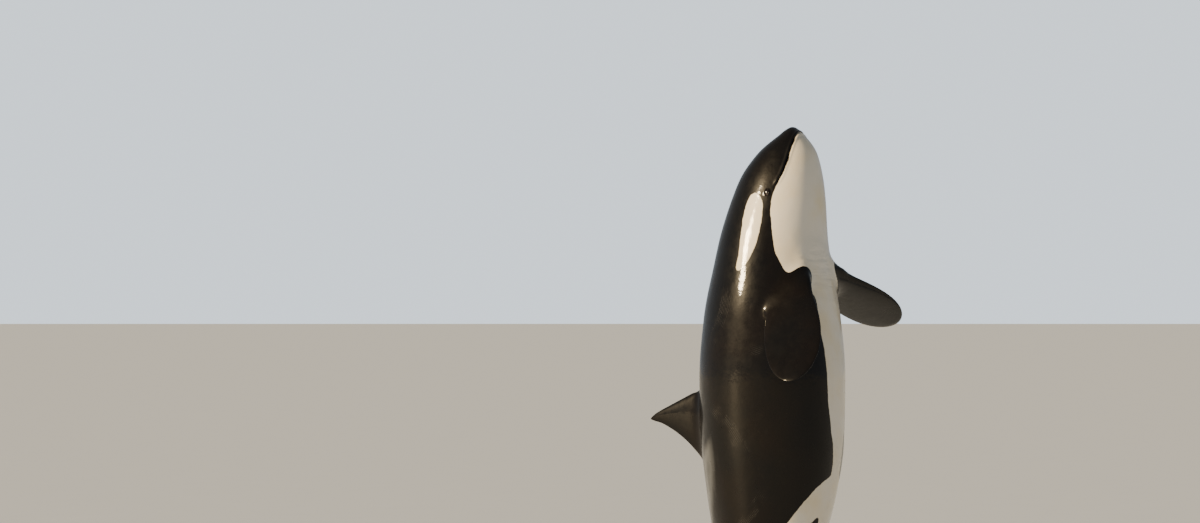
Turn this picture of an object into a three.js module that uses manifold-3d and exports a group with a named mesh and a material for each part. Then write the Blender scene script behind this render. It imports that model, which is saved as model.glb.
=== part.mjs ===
// Orca, life size, hung head up in a leap on a plain display stand.
// Millimetres, +Z up, belly toward -Y, the animal's left toward +X.
// The origin is the centre of the underside of the stand's base.

import * as THREE from "three";
import { mergeVertices } from "three/addons/utils/BufferGeometryUtils.js";
import Module from "manifold-3d";

const wasm = await Module();
wasm.setup();

// Sizes of the animal. Every share below is a share of LENGTH.
const LENGTH = 6000;
const TOUCH_GAP = 0.3;
const SIDES = 36;
const SNOUT_HEIGHT = 6250;
const AXIS_BACK = -60;

// The tail swings toward the back from this share of the length on.
const BEND_START = 0.46;
const BEND_ANGLE = THREE.MathUtils.degToRad(26);

// Sections of the body: place along it, reach to the back and to the belly, half width,
// height of the widest line, and how round the back and the belly are.
const SECTIONS = [
  { at: 0.000, back: -0.0345, belly: 0.0345, side: 0.0000, level: -0.0345, upper: 2.00, lower: 2.00 },
  { at: 0.010, back: -0.0180, belly: 0.0490, side: 0.0205, level: -0.0350, upper: 2.10, lower: 2.10 },
  { at: 0.042, back: 0.0205, belly: 0.0715, side: 0.0420, level: -0.0260, upper: 2.10, lower: 2.20 },
  { at: 0.076, back: 0.0455, belly: 0.0790, side: 0.0555, level: -0.0210, upper: 2.10, lower: 2.20 },
  { at: 0.110, back: 0.0600, belly: 0.0830, side: 0.0645, level: -0.0170, upper: 2.10, lower: 2.10 },
  { at: 0.164, back: 0.0770, belly: 0.0850, side: 0.0775, level: -0.0090, upper: 2.10, lower: 2.10 },
  { at: 0.210, back: 0.0875, belly: 0.0905, side: 0.0870, level: -0.0050, upper: 2.05, lower: 2.10 },
  { at: 0.290, back: 0.1035, belly: 0.1045, side: 0.1000, level: -0.0020, upper: 2.00, lower: 2.10 },
  { at: 0.380, back: 0.1105, belly: 0.1120, side: 0.1035, level: 0.0, upper: 2.00, lower: 2.10 },
  { at: 0.480, back: 0.1080, belly: 0.1100, side: 0.1000, level: 0.0, upper: 1.95, lower: 2.10 },
  { at: 0.560, back: 0.0995, belly: 0.0995, side: 0.0885, level: 0.0, upper: 1.85, lower: 2.00 },
  { at: 0.660, back: 0.0800, belly: 0.0755, side: 0.0655, level: 0.0, upper: 1.75, lower: 1.85 },
  { at: 0.780, back: 0.0545, belly: 0.0480, side: 0.0375, level: 0.0, upper: 1.60, lower: 1.65 },
  { at: 0.880, back: 0.0345, belly: 0.0300, side: 0.0190, level: 0.0, upper: 1.50, lower: 1.50 },
  { at: 0.950, back: 0.0175, belly: 0.0160, side: 0.0120, level: 0.0, upper: 1.60, lower: 1.60 },
  { at: 1.000, back: 0.0040, belly: 0.0040, side: 0.0075, level: 0.0, upper: 2.00, lower: 2.00 },
];

// Lengths that the body is parted into, and the rings in each.
const HEAD_END = 0.175;
const LENGTHS = [
  { name: "chest", from: HEAD_END, to: 0.36, rings: 9 },
  { name: "trunk", from: 0.36, to: 0.56, rings: 8 },
  { name: "loin", from: 0.56, to: 0.78, rings: 9 },
  { name: "tail_stock", from: 0.78, to: 1.0, rings: 12 },
];
const HEAD_RINGS = 18;

// Line of the mouth on the side of the head: place along the body and height.
const MOUTH_LINE = [[0.0085, -0.0478], [0.020, -0.0468], [0.040, -0.0450], [0.070, -0.0392], [0.092, -0.0290]];
const JAW_BACK = [[0.108, -0.0480], [0.118, -0.1200]];
const LIP_WIDTH = 24;
const LIP_HEIGHT = 9;
const MOUTH_GROOVE = { width: 5, depth: 9 };

const EYE = { at: 0.100, height: -0.0185, radius: 34, proud: 9 };
const LIDS = { length: 43, height: 25, width: 11, rise: 8 };
const BLOWHOLE = { at: 0.108, halfWidth: 56, sag: 30, slit: 6, depth: 15, rim: 17, rise: 6 };

// Dorsal fin: height over the back, edges at even steps of the height, lean to the left.
const DORSAL = {
  height: 0.097,
  lean: THREE.MathUtils.degToRad(9),
  lead: [[0, 0.394], [0.3, 0.4075], [0.6, 0.421], [0.85, 0.4325], [1, 0.441]],
  trail: [[0, 0.510], [0.3, 0.479], [0.6, 0.459], [0.85, 0.4485], [1, 0.446]],
  thick: 0.017,
};

// Flippers: paddles of one size, each in its own pose. Turn rolls the leading edge to the belly.
const FLIPPER = { length: 0.166, chord: 0.088, root: 0.84, bulge: 0.19, curve: 0.010, thick: 0.019 };
const FLIPPER_POSES = [
  { name: "flipper_left", side: 1, at: 0.238, around: -45, sweep: 20.5, droop: 21, turn: 67 },
  { name: "flipper_right", side: -1, at: 0.258, around: -35, sweep: 46.5, droop: 32, turn: 64 },
];

// Flukes: half span, edges from the notch to the tip.
const FLUKE = {
  span: 0.130,
  lead: [[0, 0.920], [0.25, 0.938], [0.5, 0.962], [0.75, 0.991], [1, 1.026]],
  trail: [[0, 0.996], [0.07, 1.009], [0.3, 1.021], [0.6, 1.022], [0.85, 1.024], [1, 1.031]],
  thick: 0.0135,
};

// Stand: a round base and two upright rods under the tail stock.
const BASE = { radius: 1350, height: 120, edge: 12, sides: 72 };
const ROD = { radius: 62, sides: 32, flangeRadius: 115, flangeHeight: 25, bury: 90 };
const RODS = [
  { name: "stand_rod_front", y: 40 },
  { name: "stand_rod_back", y: 300 },
];

const SKIN = { color: 0x14161a, roughness: 0.32, metalness: 0 };
const PALE = { color: 0xe8e4da, roughness: 0.4, metalness: 0 };
const EYE_BALL = { color: 0x1a0f0a, roughness: 0.1, metalness: 0 };
const STAND_PAINT = { color: 0x2b2d30, roughness: 0.55, metalness: 0.1 };
const STAND_STEEL = { color: 0x9a9ca0, roughness: 0.35, metalness: 0.9 };

// Monotone cubic through points (x, y): slopes are harmonic means, so it never overshoots.
function smoothCurve(points) {
  const n = points.length;
  const h = [];
  const rise = [];
  for (let i = 0; i < n - 1; i += 1) {
    h.push(points[i + 1][0] - points[i][0]);
    rise.push((points[i + 1][1] - points[i][1]) / h[i]);
  }
  const slope = points.map((point, i) => {
    if (i === 0) return endSlope(h[0], h[1], rise[0], rise[1]);
    if (i === n - 1) return endSlope(h[n - 2], h[n - 3], rise[n - 2], rise[n - 3]);
    if (rise[i - 1] * rise[i] <= 0) return 0;
    const before = 2 * h[i] + h[i - 1];
    const after = h[i] + 2 * h[i - 1];
    return (before + after) / (before / rise[i - 1] + after / rise[i]);
  });
  return (x) => {
    let i = 0;
    while (i < n - 2 && x > points[i + 1][0]) i += 1;
    const t = THREE.MathUtils.clamp((x - points[i][0]) / h[i], 0, 1);
    const a = points[i][1];
    const b = points[i + 1][1];
    const rest = 1 - t;
    return a * rest * rest * (1 + 2 * t) + b * t * t * (3 - 2 * t)
      + h[i] * (slope[i] * t * rest * rest - slope[i + 1] * t * t * rest);
  };
}

function endSlope(h0, h1, rise0, rise1) {
  if (h1 === undefined) return rise0;
  const slope = ((2 * h0 + h1) * rise0 - h0 * rise1) / (h0 + h1);
  if (slope * rise0 <= 0) return 0;
  if (rise0 * rise1 <= 0 && Math.abs(slope) > 3 * Math.abs(rise0)) return 3 * rise0;
  return slope;
}

// The sections are read over the square root of the place, which rounds the snout.
const COLUMNS = {};
for (const key of ["back", "belly", "side", "level", "upper", "lower"]) {
  COLUMNS[key] = smoothCurve(SECTIONS.map((row) => [Math.sqrt(row.at), row[key]]));
}

function sectionAt(place) {
  const u = Math.sqrt(THREE.MathUtils.clamp(place, 0, 1));
  const section = {};
  for (const key of Object.keys(COLUMNS)) section[key] = COLUMNS[key](u);
  return section;
}

// Point of a section at an angle: 0 is the left side, 90 degrees the back. [across, height]
function sectionPoint(place, angle) {
  const s = sectionAt(place);
  const c = Math.cos(angle);
  const v = Math.sin(angle);
  const power = v >= 0 ? 2 / s.upper : 2 / s.lower;
  const reach = v >= 0 ? s.back - s.level : s.belly + s.level;
  const across = s.side * Math.sign(c) * Math.abs(c) ** power;
  const height = s.level + reach * Math.sign(v) * Math.abs(v) ** power;
  return [across, height];
}

// The axis: straight to BEND_START, then turning evenly toward the back.
const AXIS_STEPS = 1200;
const AXIS_END = 1.2;
const AXIS = [{ back: 0, down: 0 }];
for (let i = 1; i <= AXIS_STEPS; i += 1) {
  const step = AXIS_END / AXIS_STEPS;
  const bend = bendAt((i - 0.5) * step);
  const last = AXIS[i - 1];
  AXIS.push({ back: last.back + step * Math.sin(bend), down: last.down + step * Math.cos(bend) });
}

function bendAt(place) {
  const t = THREE.MathUtils.clamp((place - BEND_START) / (1 - BEND_START), 0, 1);
  return BEND_ANGLE * t * t * (3 - 2 * t);
}

// Body coordinates (place along, across, height, all shares) to millimetres.
function toWorld(place, across, height) {
  const step = THREE.MathUtils.clamp((place * AXIS_STEPS) / AXIS_END, 0, AXIS_STEPS - 1);
  const i = Math.floor(step);
  const f = step - i;
  const back = AXIS[i].back + (AXIS[i + 1].back - AXIS[i].back) * f;
  const down = AXIS[i].down + (AXIS[i + 1].down - AXIS[i].down) * f;
  const before = Math.min(place, 0);
  const bend = bendAt(place);
  return new THREE.Vector3(
    across * LENGTH,
    (back + height * Math.cos(bend)) * LENGTH + AXIS_BACK,
    (height * Math.sin(bend) - down - before) * LENGTH + SNOUT_HEIGHT,
  );
}

function bodyPoint(place, angle) {
  const [across, height] = sectionPoint(place, angle);
  return toWorld(place, across, height);
}

function bodyNormal(place, angle) {
  const d = 0.002;
  const along = bodyPoint(place + d, angle).sub(bodyPoint(place - d, angle));
  const round = bodyPoint(place, angle + d).sub(bodyPoint(place, angle - d));
  return round.cross(along).normalize().negate();
}

// Closed skin over rings of points. A ring of one point is a pole, open ends get flat caps.
function skinRings(rings, closed = false) {
  const positions = [];
  const starts = [];
  for (const ring of rings) {
    starts.push(positions.length / 3);
    for (const p of ring) positions.push(p.x, p.y, p.z);
  }
  const triangles = [];
  const last = closed ? rings.length : rings.length - 1;
  for (let i = 0; i < last; i += 1) {
    const k = (i + 1) % rings.length;
    joinRings(triangles, starts[i], rings[i].length, starts[k], rings[k].length);
  }
  if (!closed) {
    capRing(positions, triangles, rings[0], starts[0], true);
    capRing(positions, triangles, rings[rings.length - 1], starts[rings.length - 1], false);
  }
  return solid(positions, triangles);
}

function joinRings(triangles, a, countA, b, countB) {
  const count = Math.max(countA, countB);
  for (let j = 0; j < count; j += 1) {
    const k = (j + 1) % count;
    if (countA === 1) triangles.push([a, b + k, b + j]);
    else if (countB === 1) triangles.push([a + j, a + k, b]);
    else triangles.push([a + j, a + k, b + k], [a + j, b + k, b + j]);
  }
}

function capRing(positions, triangles, ring, start, first) {
  if (ring.length === 1) return;
  const centre = new THREE.Vector3();
  for (const p of ring) centre.add(p);
  centre.divideScalar(ring.length);
  const middle = positions.length / 3;
  positions.push(centre.x, centre.y, centre.z);
  for (let j = 0; j < ring.length; j += 1) {
    const k = (j + 1) % ring.length;
    triangles.push(first ? [middle, start + k, start + j] : [middle, start + j, start + k]);
  }
}

// A manifold solid, turned inside out first where its triangles run the wrong way.
function solid(positions, triangles) {
  const corner = (i) => new THREE.Vector3().fromArray(positions, i * 3);
  let volume = 0;
  for (const [a, b, c] of triangles) volume += corner(a).dot(corner(b).cross(corner(c)));
  const turned = volume < 0 ? triangles.map(([a, b, c]) => [a, c, b]) : triangles;
  return new wasm.Manifold(new wasm.Mesh({
    numProp: 3,
    vertProperties: new Float32Array(positions),
    triVerts: new Uint32Array(turned.flat()),
  }));
}

function fromGeometry(geometry) {
  geometry.deleteAttribute("normal");
  geometry.deleteAttribute("uv");
  const merged = mergeVertices(geometry, 1e-3);
  const index = Array.from(merged.index.array);
  const triangles = [];
  for (let i = 0; i < index.length; i += 3) triangles.push(index.slice(i, i + 3));
  const whole = triangles.filter(([a, b, c]) => a !== b && b !== c && c !== a);
  return solid(Array.from(merged.attributes.position.array), whole);
}

function toGeometry(manifold) {
  const mesh = manifold.getMesh();
  const geometry = new THREE.BufferGeometry();
  const count = mesh.vertProperties.length / mesh.numProp;
  const positions = new Float32Array(count * 3);
  for (let i = 0; i < count; i += 1) {
    for (let k = 0; k < 3; k += 1) positions[i * 3 + k] = mesh.vertProperties[i * mesh.numProp + k];
  }
  geometry.setAttribute("position", new THREE.BufferAttribute(positions, 3));
  geometry.setIndex(Array.from(mesh.triVerts));
  return geometry;
}

function largest(manifold) {
  const pieces = manifold.decompose();
  return pieces.reduce((best, piece) => (piece.volume() > best.volume() ? piece : best));
}

const group = new THREE.Group();

function addNode(name, manifold, look) {
  const geometry = toGeometry(largest(manifold));
  geometry.computeVertexNormals();
  const mesh = new THREE.Mesh(geometry, new THREE.MeshStandardMaterial(look));
  mesh.name = name;
  group.add(mesh);
}

// A roll or groove along a path on the body: elliptic section, ends run out to points.
function rollAlong(path, halfWidth, halfHeight, closed = false) {
  const sides = 6;
  const rings = path.map(({ point, normal }, i) => {
    const count = path.length;
    const next = path[closed ? (i + 1) % count : Math.min(i + 1, count - 1)].point;
    const before = path[closed ? (i + count - 1) % count : Math.max(i - 1, 0)].point;
    const along = next.clone().sub(before).normalize();
    const across = normal.clone().cross(along).normalize();
    const u = (2 * i) / (count - 1) - 1;
    const size = closed ? 1 : Math.sqrt(Math.max(1 - u ** 6, 0));
    if (size === 0) return [point.clone()];
    const ring = [];
    for (let j = 0; j < sides; j += 1) {
      const angle = (2 * Math.PI * j) / sides;
      ring.push(point.clone()
        .addScaledVector(across, halfWidth * size * Math.cos(angle))
        .addScaledVector(normal, halfHeight * size * Math.sin(angle)));
    }
    return ring;
  });
  return skinRings(rings, closed);
}

// Body rings from one place to another, evenly spaced or crowded toward the snout.
function bodyRings(from, to, count, proud = 0, crowd = false) {
  const rings = [];
  for (let i = 0; i < count; i += 1) {
    const t = i / (count - 1);
    const root = Math.sqrt(from) + (Math.sqrt(to) - Math.sqrt(from)) * t;
    const place = crowd ? root * root : from + (to - from) * t;
    if (place === 0) {
      rings.push([toWorld(0, 0, SECTIONS[0].level)]);
      continue;
    }
    const section = sectionAt(place);
    const ring = [];
    for (let j = 0; j < SIDES; j += 1) {
      const [across, height] = sectionPoint(place, (2 * Math.PI * j) / SIDES);
      const out = Math.hypot(across, height - section.level);
      const grow = 1 + proud / (out * LENGTH);
      ring.push(toWorld(place, across * grow, section.level + (height - section.level) * grow));
    }
    rings.push(ring);
  }
  return rings;
}

function wholeBody() {
  const rings = bodyRings(0, HEAD_END, HEAD_RINGS, 1.5 * TOUCH_GAP, true);
  for (const part of LENGTHS) {
    rings.push(...bodyRings(part.from, part.to, part.rings, 1.5 * TOUCH_GAP).slice(1));
  }
  return skinRings(rings);
}

// Head: mouth, lips, lids and blowhole worked into the loft, then the lower jaw parted off.
const mouthHeight = smoothCurve(MOUTH_LINE);

function mouthAngle(place) {
  const s = sectionAt(place);
  const share = THREE.MathUtils.clamp((s.level - mouthHeight(place)) / (s.belly + s.level), 0, 1);
  return -Math.asin(share ** (s.lower / 2));
}

function mouthPath() {
  const steps = 22;
  const front = MOUTH_LINE[0][0];
  const corner = MOUTH_LINE[MOUTH_LINE.length - 1][0];
  const path = [];
  for (let i = 0; i <= steps; i += 1) {
    const t = (2 * i) / steps - 1;
    const place = front + (corner - front) * t * t;
    const angle = t < 0 ? mouthAngle(place) : -Math.PI - mouthAngle(place);
    path.push({ point: bodyPoint(place, angle), normal: bodyNormal(place, angle) });
  }
  return path;
}

// A slab through the head whose side view is everything below the mouth line.
function jawSlab(shift) {
  const outline = [];
  const steps = 16;
  const front = MOUTH_LINE[0][0];
  const corner = MOUTH_LINE[MOUTH_LINE.length - 1][0];
  outline.push([-0.02, MOUTH_LINE[0][1]]);
  for (let i = 0; i <= steps; i += 1) {
    const place = front + ((corner - front) * i) / steps;
    outline.push([place, mouthHeight(place)]);
  }
  outline.push(...JAW_BACK, [-0.02, JAW_BACK[1][1]]);
  const shape = new THREE.Shape();
  for (const [place, height] of outline) {
    const p = toWorld(place, 0, height);
    shape.lineTo(p.y + shift, p.z - shift);
  }
  shape.curves.shift();
  const width = 0.3 * LENGTH;
  const slab = new THREE.ExtrudeGeometry(shape, { depth: width, bevelEnabled: false });
  slab.translate(0, 0, -width / 2);
  const turn = new THREE.Matrix4().makeBasis(
    new THREE.Vector3(0, 1, 0),
    new THREE.Vector3(0, 0, 1),
    new THREE.Vector3(1, 0, 0),
  );
  slab.applyMatrix4(turn);
  return fromGeometry(slab);
}

function eyePlace(side) {
  const s = sectionAt(EYE.at);
  const share = (s.level - EYE.height) / (s.belly + s.level);
  const onLeft = share >= 0 ? -Math.asin(share ** (s.lower / 2)) : 0;
  const angle = side > 0 ? onLeft : Math.PI - onLeft;
  const point = bodyPoint(EYE.at, angle);
  const normal = bodyNormal(EYE.at, angle);
  const centre = point.clone().addScaledVector(normal, EYE.proud - EYE.radius);
  return { point, normal, centre };
}

function ball(centre, radius) {
  const sphere = new THREE.SphereGeometry(radius, 16, 10);
  sphere.translate(centre.x, centre.y, centre.z);
  return fromGeometry(sphere);
}

function lidRoll(side) {
  const { point, normal } = eyePlace(side);
  const steps = 16;
  const path = [];
  const down = new THREE.Vector3(0, 0, -1);
  const across = normal.clone().cross(down).normalize();
  const along = across.clone().cross(normal).normalize();
  for (let i = 0; i < steps; i += 1) {
    const angle = (2 * Math.PI * i) / steps;
    const p = point.clone()
      .addScaledVector(along, LIDS.length * Math.cos(angle))
      .addScaledVector(across, LIDS.height * Math.sin(angle));
    path.push({ point: p, normal });
  }
  return rollAlong(path, LIDS.width, LIDS.rise, true);
}

function blowholePath() {
  const steps = 10;
  const path = [];
  for (let i = 0; i <= steps; i += 1) {
    const t = (2 * i) / steps - 1;
    const place = BLOWHOLE.at - (BLOWHOLE.sag * t * t) / LENGTH;
    const share = (t * BLOWHOLE.halfWidth) / LENGTH / sectionAt(place).side;
    const angle = Math.PI / 2 - Math.asin(share);
    path.push({ point: bodyPoint(place, angle), normal: bodyNormal(place, angle) });
  }
  return path;
}

function makeHead() {
  const end = HEAD_END - TOUCH_GAP / 2 / LENGTH;
  let head = skinRings(bodyRings(0, end, HEAD_RINGS, 0, true));
  const mouth = mouthPath();
  const nose = blowholePath();
  head = head.add(rollAlong(mouth, LIP_WIDTH, LIP_HEIGHT));
  head = head.add(rollAlong(nose, BLOWHOLE.rim, BLOWHOLE.rise));
  head = head.subtract(rollAlong(mouth, MOUTH_GROOVE.width, MOUTH_GROOVE.depth + LIP_HEIGHT));
  head = head.subtract(rollAlong(nose, BLOWHOLE.slit, BLOWHOLE.depth));
  for (const [name, side] of [["eye_left", 1], ["eye_right", -1]]) {
    const { centre } = eyePlace(side);
    head = head.add(lidRoll(side)).subtract(ball(centre, EYE.radius + TOUCH_GAP));
    addNode(name, ball(centre, EYE.radius), EYE_BALL);
  }
  addNode("head", head.subtract(jawSlab(TOUCH_GAP)), SKIN);
  addNode("lower_jaw", head.intersect(jawSlab(0)), PALE);
}

// A fin: rings along its span, each an aerofoil between its leading and trailing edge.
// middle(t) gives the ring's leading and trailing points and the direction of its thickness.
function finRings(ringAt, from, steps) {
  const sides = 16;
  const rings = [];
  for (let i = 0; i <= steps; i += 1) {
    const t = from + ((1 - from) * i) / steps;
    const { lead, trail, up, thick } = ringAt(t);
    if (thick === 0) {
      rings.push([lead.clone().lerp(trail, 0.5)]);
      continue;
    }
    const ring = [];
    for (let j = 0; j < sides; j += 1) {
      const angle = (2 * Math.PI * j) / sides;
      const chordShare = (1 + Math.cos(angle)) / 2;
      const half = (thick / 2) * Math.sin(angle) * (0.35 + 0.65 * Math.sqrt(chordShare));
      ring.push(trail.clone().lerp(lead, chordShare).addScaledVector(up, half));
    }
    rings.push(ring);
  }
  return rings.map((ring) => ring.map((p) => toWorld(p.x, p.y, p.z)));
}

// Thickness and chord grow toward the root, as flesh does where a fin leaves the body.
function flare(t, reach, amount) {
  const near = THREE.MathUtils.clamp(1 - t / reach, 0, 2);
  return 1 + amount * near * near;
}

function tipRound(t, power) {
  return Math.sqrt(Math.max(1 - THREE.MathUtils.clamp(t, 0, 1) ** power, 0));
}

function makeDorsalFin(body) {
  const lead = smoothCurve(DORSAL.lead);
  const trail = smoothCurve(DORSAL.trail);
  const up = new THREE.Vector3(0, Math.cos(DORSAL.lean), -Math.sin(DORSAL.lean));
  const root = sectionAt(DORSAL.lead[0][1]).back;
  const rings = finRings((t) => {
    const grow = flare(t, 0.16, 0.10);
    const high = t * DORSAL.height;
    const across = Math.sin(DORSAL.lean) * high;
    const height = root + Math.cos(DORSAL.lean) * high;
    const front = lead(Math.max(t, 0)) - 0.03 * (grow - 1);
    const rear = trail(Math.max(t, 0)) + 0.05 * (grow - 1);
    const thin = t < 1 ? DORSAL.thick * (1 - 0.72 * Math.max(t, 0)) * flare(t, 0.2, 0.45) : 0;
    return {
      lead: new THREE.Vector3(front, across, height),
      trail: new THREE.Vector3(rear, across, height),
      up,
      thick: thin * Math.max(tipRound(t, 8), 0),
    };
  }, -0.16, 16);
  addNode("dorsal_fin", skinRings(rings).subtract(body), SKIN);
}

function makeFlipper(pose, body) {
  const rad = THREE.MathUtils.degToRad;
  const [sweep, droop, turn] = [rad(pose.sweep), rad(pose.droop), rad(pose.turn)];
  const [across, height] = sectionPoint(pose.at, rad(pose.around));
  const root = new THREE.Vector3(pose.at, across, height);
  const span = new THREE.Vector3(Math.sin(sweep), Math.cos(sweep) * Math.cos(droop),
    -Math.cos(sweep) * Math.sin(droop));
  const forward = new THREE.Vector3(-Math.cos(sweep), Math.sin(sweep) * Math.cos(droop),
    -Math.sin(sweep) * Math.sin(droop));
  const flat = new THREE.Vector3(0, Math.sin(droop), Math.cos(droop));
  const chordWay = forward.clone().multiplyScalar(Math.cos(turn)).addScaledVector(flat, -Math.sin(turn));
  const up = flat.clone().multiplyScalar(Math.cos(turn)).addScaledVector(forward, Math.sin(turn));
  const sided = (v) => v.setY(v.y * pose.side);
  const rings = finRings((t) => {
    const open = Math.max(t, 0);
    const fullness = FLIPPER.root + FLIPPER.bulge * Math.sin(0.9 * Math.PI * open);
    const chord = FLIPPER.chord * fullness * tipRound(open, 5) * flare(t, 0.12, 0.03);
    const middle = root.clone()
      .addScaledVector(span, t * FLIPPER.length)
      .addScaledVector(chordWay, -FLIPPER.curve * open * open);
    const thick = FLIPPER.thick * (1 - 0.74 * open) * flare(t, 0.2, 0.3);
    return {
      lead: sided(middle.clone().addScaledVector(chordWay, chord / 2)),
      trail: sided(middle.clone().addScaledVector(chordWay, -chord / 2)),
      up: sided(up.clone()),
      thick: t < 1 ? thick * Math.min(1, 2.2 * tipRound(open, 5)) : 0,
    };
  }, -0.3, 20);
  addNode(pose.name, skinRings(rings).subtract(body), SKIN);
}

function makeFluke(name, side, body) {
  const lead = smoothCurve(FLUKE.lead);
  const trail = smoothCurve(FLUKE.trail);
  const clear = TOUCH_GAP / 2 / LENGTH;
  const rings = finRings((t) => {
    const across = side * (clear + t * (FLUKE.span - clear));
    const thick = FLUKE.thick * (1 - 0.78 * t) * tipRound(t, 12);
    return {
      lead: new THREE.Vector3(lead(t), across, 0),
      trail: new THREE.Vector3(trail(t), across, 0),
      up: new THREE.Vector3(0, 0, 1),
      thick,
    };
  }, 0, 18);
  addNode(name, skinRings(rings).subtract(body), SKIN);
}

function makeStand(body) {
  const profile = [
    [0, 0],
    [BASE.radius - BASE.edge / 2, 0],
    [BASE.radius, BASE.edge / 2],
    [BASE.radius, BASE.height - BASE.edge],
    [BASE.radius - BASE.edge, BASE.height],
    [0, BASE.height],
  ].map(([x, y]) => new THREE.Vector2(x, y));
  const disc = new THREE.LatheGeometry(profile, BASE.sides);
  disc.rotateX(Math.PI / 2);
  addNode("stand_base", fromGeometry(disc), STAND_PAINT);
  const foot = BASE.height + TOUCH_GAP;
  for (const rod of RODS) {
    const top = undersideHeight(rod.y) + ROD.bury + ROD.radius;
    const shaft = turned(ROD.radius, foot, top, ROD.sides, rod.y);
    const flange = turned(ROD.flangeRadius, foot, foot + ROD.flangeHeight, ROD.sides, rod.y);
    addNode(rod.name, shaft.add(flange).subtract(body), STAND_STEEL);
  }
}

function turned(radius, from, to, sides, y) {
  const cylinder = new THREE.CylinderGeometry(radius, radius, to - from, sides);
  cylinder.rotateX(Math.PI / 2);
  cylinder.translate(0, y, (from + to) / 2);
  return fromGeometry(cylinder);
}

// Height of the middle of the tail stock's belly side over a point of the base.
function undersideHeight(y) {
  const steps = 400;
  for (let i = steps; i > 0; i -= 1) {
    const place = BEND_START + ((1 - BEND_START) * i) / steps;
    const p = bodyPoint(place, -Math.PI / 2);
    if (p.y < y) return p.z;
  }
  return 0;
}

const body = wholeBody();
makeHead();
for (const part of LENGTHS) {
  const half = TOUCH_GAP / 2 / LENGTH;
  const end = part.to === 1 ? part.to : part.to - half;
  addNode(part.name, skinRings(bodyRings(part.from + half, end, part.rings)), SKIN);
}
makeDorsalFin(body);
for (const pose of FLIPPER_POSES) makeFlipper(pose, body);
makeFluke("fluke_left", 1, body);
makeFluke("fluke_right", -1, body);
makeStand(body);

export default group;
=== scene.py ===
"""Orca, life size, leaping head up, held over a round base by two short rods.

Metres, +Z up, belly toward -Y, the animal's left toward +X, origin under the base's centre.
Body coordinates are shares of the length: place along the body from the snout, across to
the left, and height toward the back. Angles round a section start at the left side.
"""

import bpy
import numpy as np
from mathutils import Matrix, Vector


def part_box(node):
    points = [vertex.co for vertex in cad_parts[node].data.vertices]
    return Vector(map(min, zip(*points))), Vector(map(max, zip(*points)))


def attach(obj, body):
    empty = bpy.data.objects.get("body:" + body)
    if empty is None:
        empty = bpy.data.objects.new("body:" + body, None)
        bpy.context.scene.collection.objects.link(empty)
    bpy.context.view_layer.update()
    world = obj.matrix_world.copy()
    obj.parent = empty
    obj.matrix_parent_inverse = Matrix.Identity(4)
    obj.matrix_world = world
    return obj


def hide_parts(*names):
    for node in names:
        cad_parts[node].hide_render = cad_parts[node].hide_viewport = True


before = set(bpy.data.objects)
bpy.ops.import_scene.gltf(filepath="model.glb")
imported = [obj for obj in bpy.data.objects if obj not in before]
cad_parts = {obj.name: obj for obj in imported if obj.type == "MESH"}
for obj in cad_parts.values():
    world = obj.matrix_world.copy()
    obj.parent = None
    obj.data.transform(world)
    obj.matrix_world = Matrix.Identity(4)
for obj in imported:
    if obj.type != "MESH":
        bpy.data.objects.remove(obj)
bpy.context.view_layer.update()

bl_info = {
    "name": "Leaping orca",
    "version": (1, 0, 0),
    "blender": (4, 5, 0),
    "location": "View3D > Sidebar > Orca",
    "description": "Skin, eyes, display stand and studio of a life-size orca",
    "category": "Add Mesh",
}

# The body: the same sections, axis and fins as the solids, in metres.
LENGTH = 6.0
SNOUT_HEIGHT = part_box("head")[1][2]
AXIS_BACK = -0.060
BEND_START = 0.46
BEND_ANGLE = np.radians(26)

# place, reach to the back, reach to the belly, half width, level of the widest line,
# exponent of the back's curve, exponent of the belly's curve
SECTIONS = np.array([
    (0.000, -0.0345, 0.0345, 0.0000, -0.0345, 2.00, 2.00),
    (0.010, -0.0180, 0.0490, 0.0205, -0.0350, 2.10, 2.10),
    (0.042, 0.0205, 0.0715, 0.0420, -0.0260, 2.10, 2.20),
    (0.076, 0.0455, 0.0790, 0.0555, -0.0210, 2.10, 2.20),
    (0.110, 0.0600, 0.0830, 0.0645, -0.0170, 2.10, 2.10),
    (0.164, 0.0770, 0.0850, 0.0775, -0.0090, 2.10, 2.10),
    (0.210, 0.0875, 0.0905, 0.0870, -0.0050, 2.05, 2.10),
    (0.290, 0.1035, 0.1045, 0.1000, -0.0020, 2.00, 2.10),
    (0.380, 0.1105, 0.1120, 0.1035, 0.0, 2.00, 2.10),
    (0.480, 0.1080, 0.1100, 0.1000, 0.0, 1.95, 2.10),
    (0.560, 0.0995, 0.0995, 0.0885, 0.0, 1.85, 2.00),
    (0.660, 0.0800, 0.0755, 0.0655, 0.0, 1.75, 1.85),
    (0.780, 0.0545, 0.0480, 0.0375, 0.0, 1.60, 1.65),
    (0.880, 0.0345, 0.0300, 0.0190, 0.0, 1.50, 1.50),
    (0.950, 0.0175, 0.0160, 0.0120, 0.0, 1.60, 1.60),
    (1.000, 0.0040, 0.0040, 0.0075, 0.0, 2.00, 2.00),
])

# The line of the mouth on the left side: place and height.
MOUTH_LINE = [(0.0085, -0.0478), (0.020, -0.0468), (0.040, -0.0450), (0.070, -0.0392),
              (0.092, -0.0290)]
MOUTH_FRONT = MOUTH_LINE[0][0]
MOUTH_CORNER = MOUTH_LINE[-1][0]

# Places and heights are shares; the groove, the lips, the ball and the blowhole are in metres.
GROOVE = {"depth": 0.012, "width": 0.0042}
LIPS = {"upper": 0.0065, "lower": 0.0045, "from_line": 0.017, "width": 0.013}
EYE = {"place": 0.100, "height": -0.0185, "radius": 0.034, "proud": 0.009}
BLOWHOLE = {"place": 0.108, "half_width": 0.056, "sag": 0.030, "rim": (0.024, 0.009),
            "rim_reach": 0.045, "slit": (0.0055, 0.016)}

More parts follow.
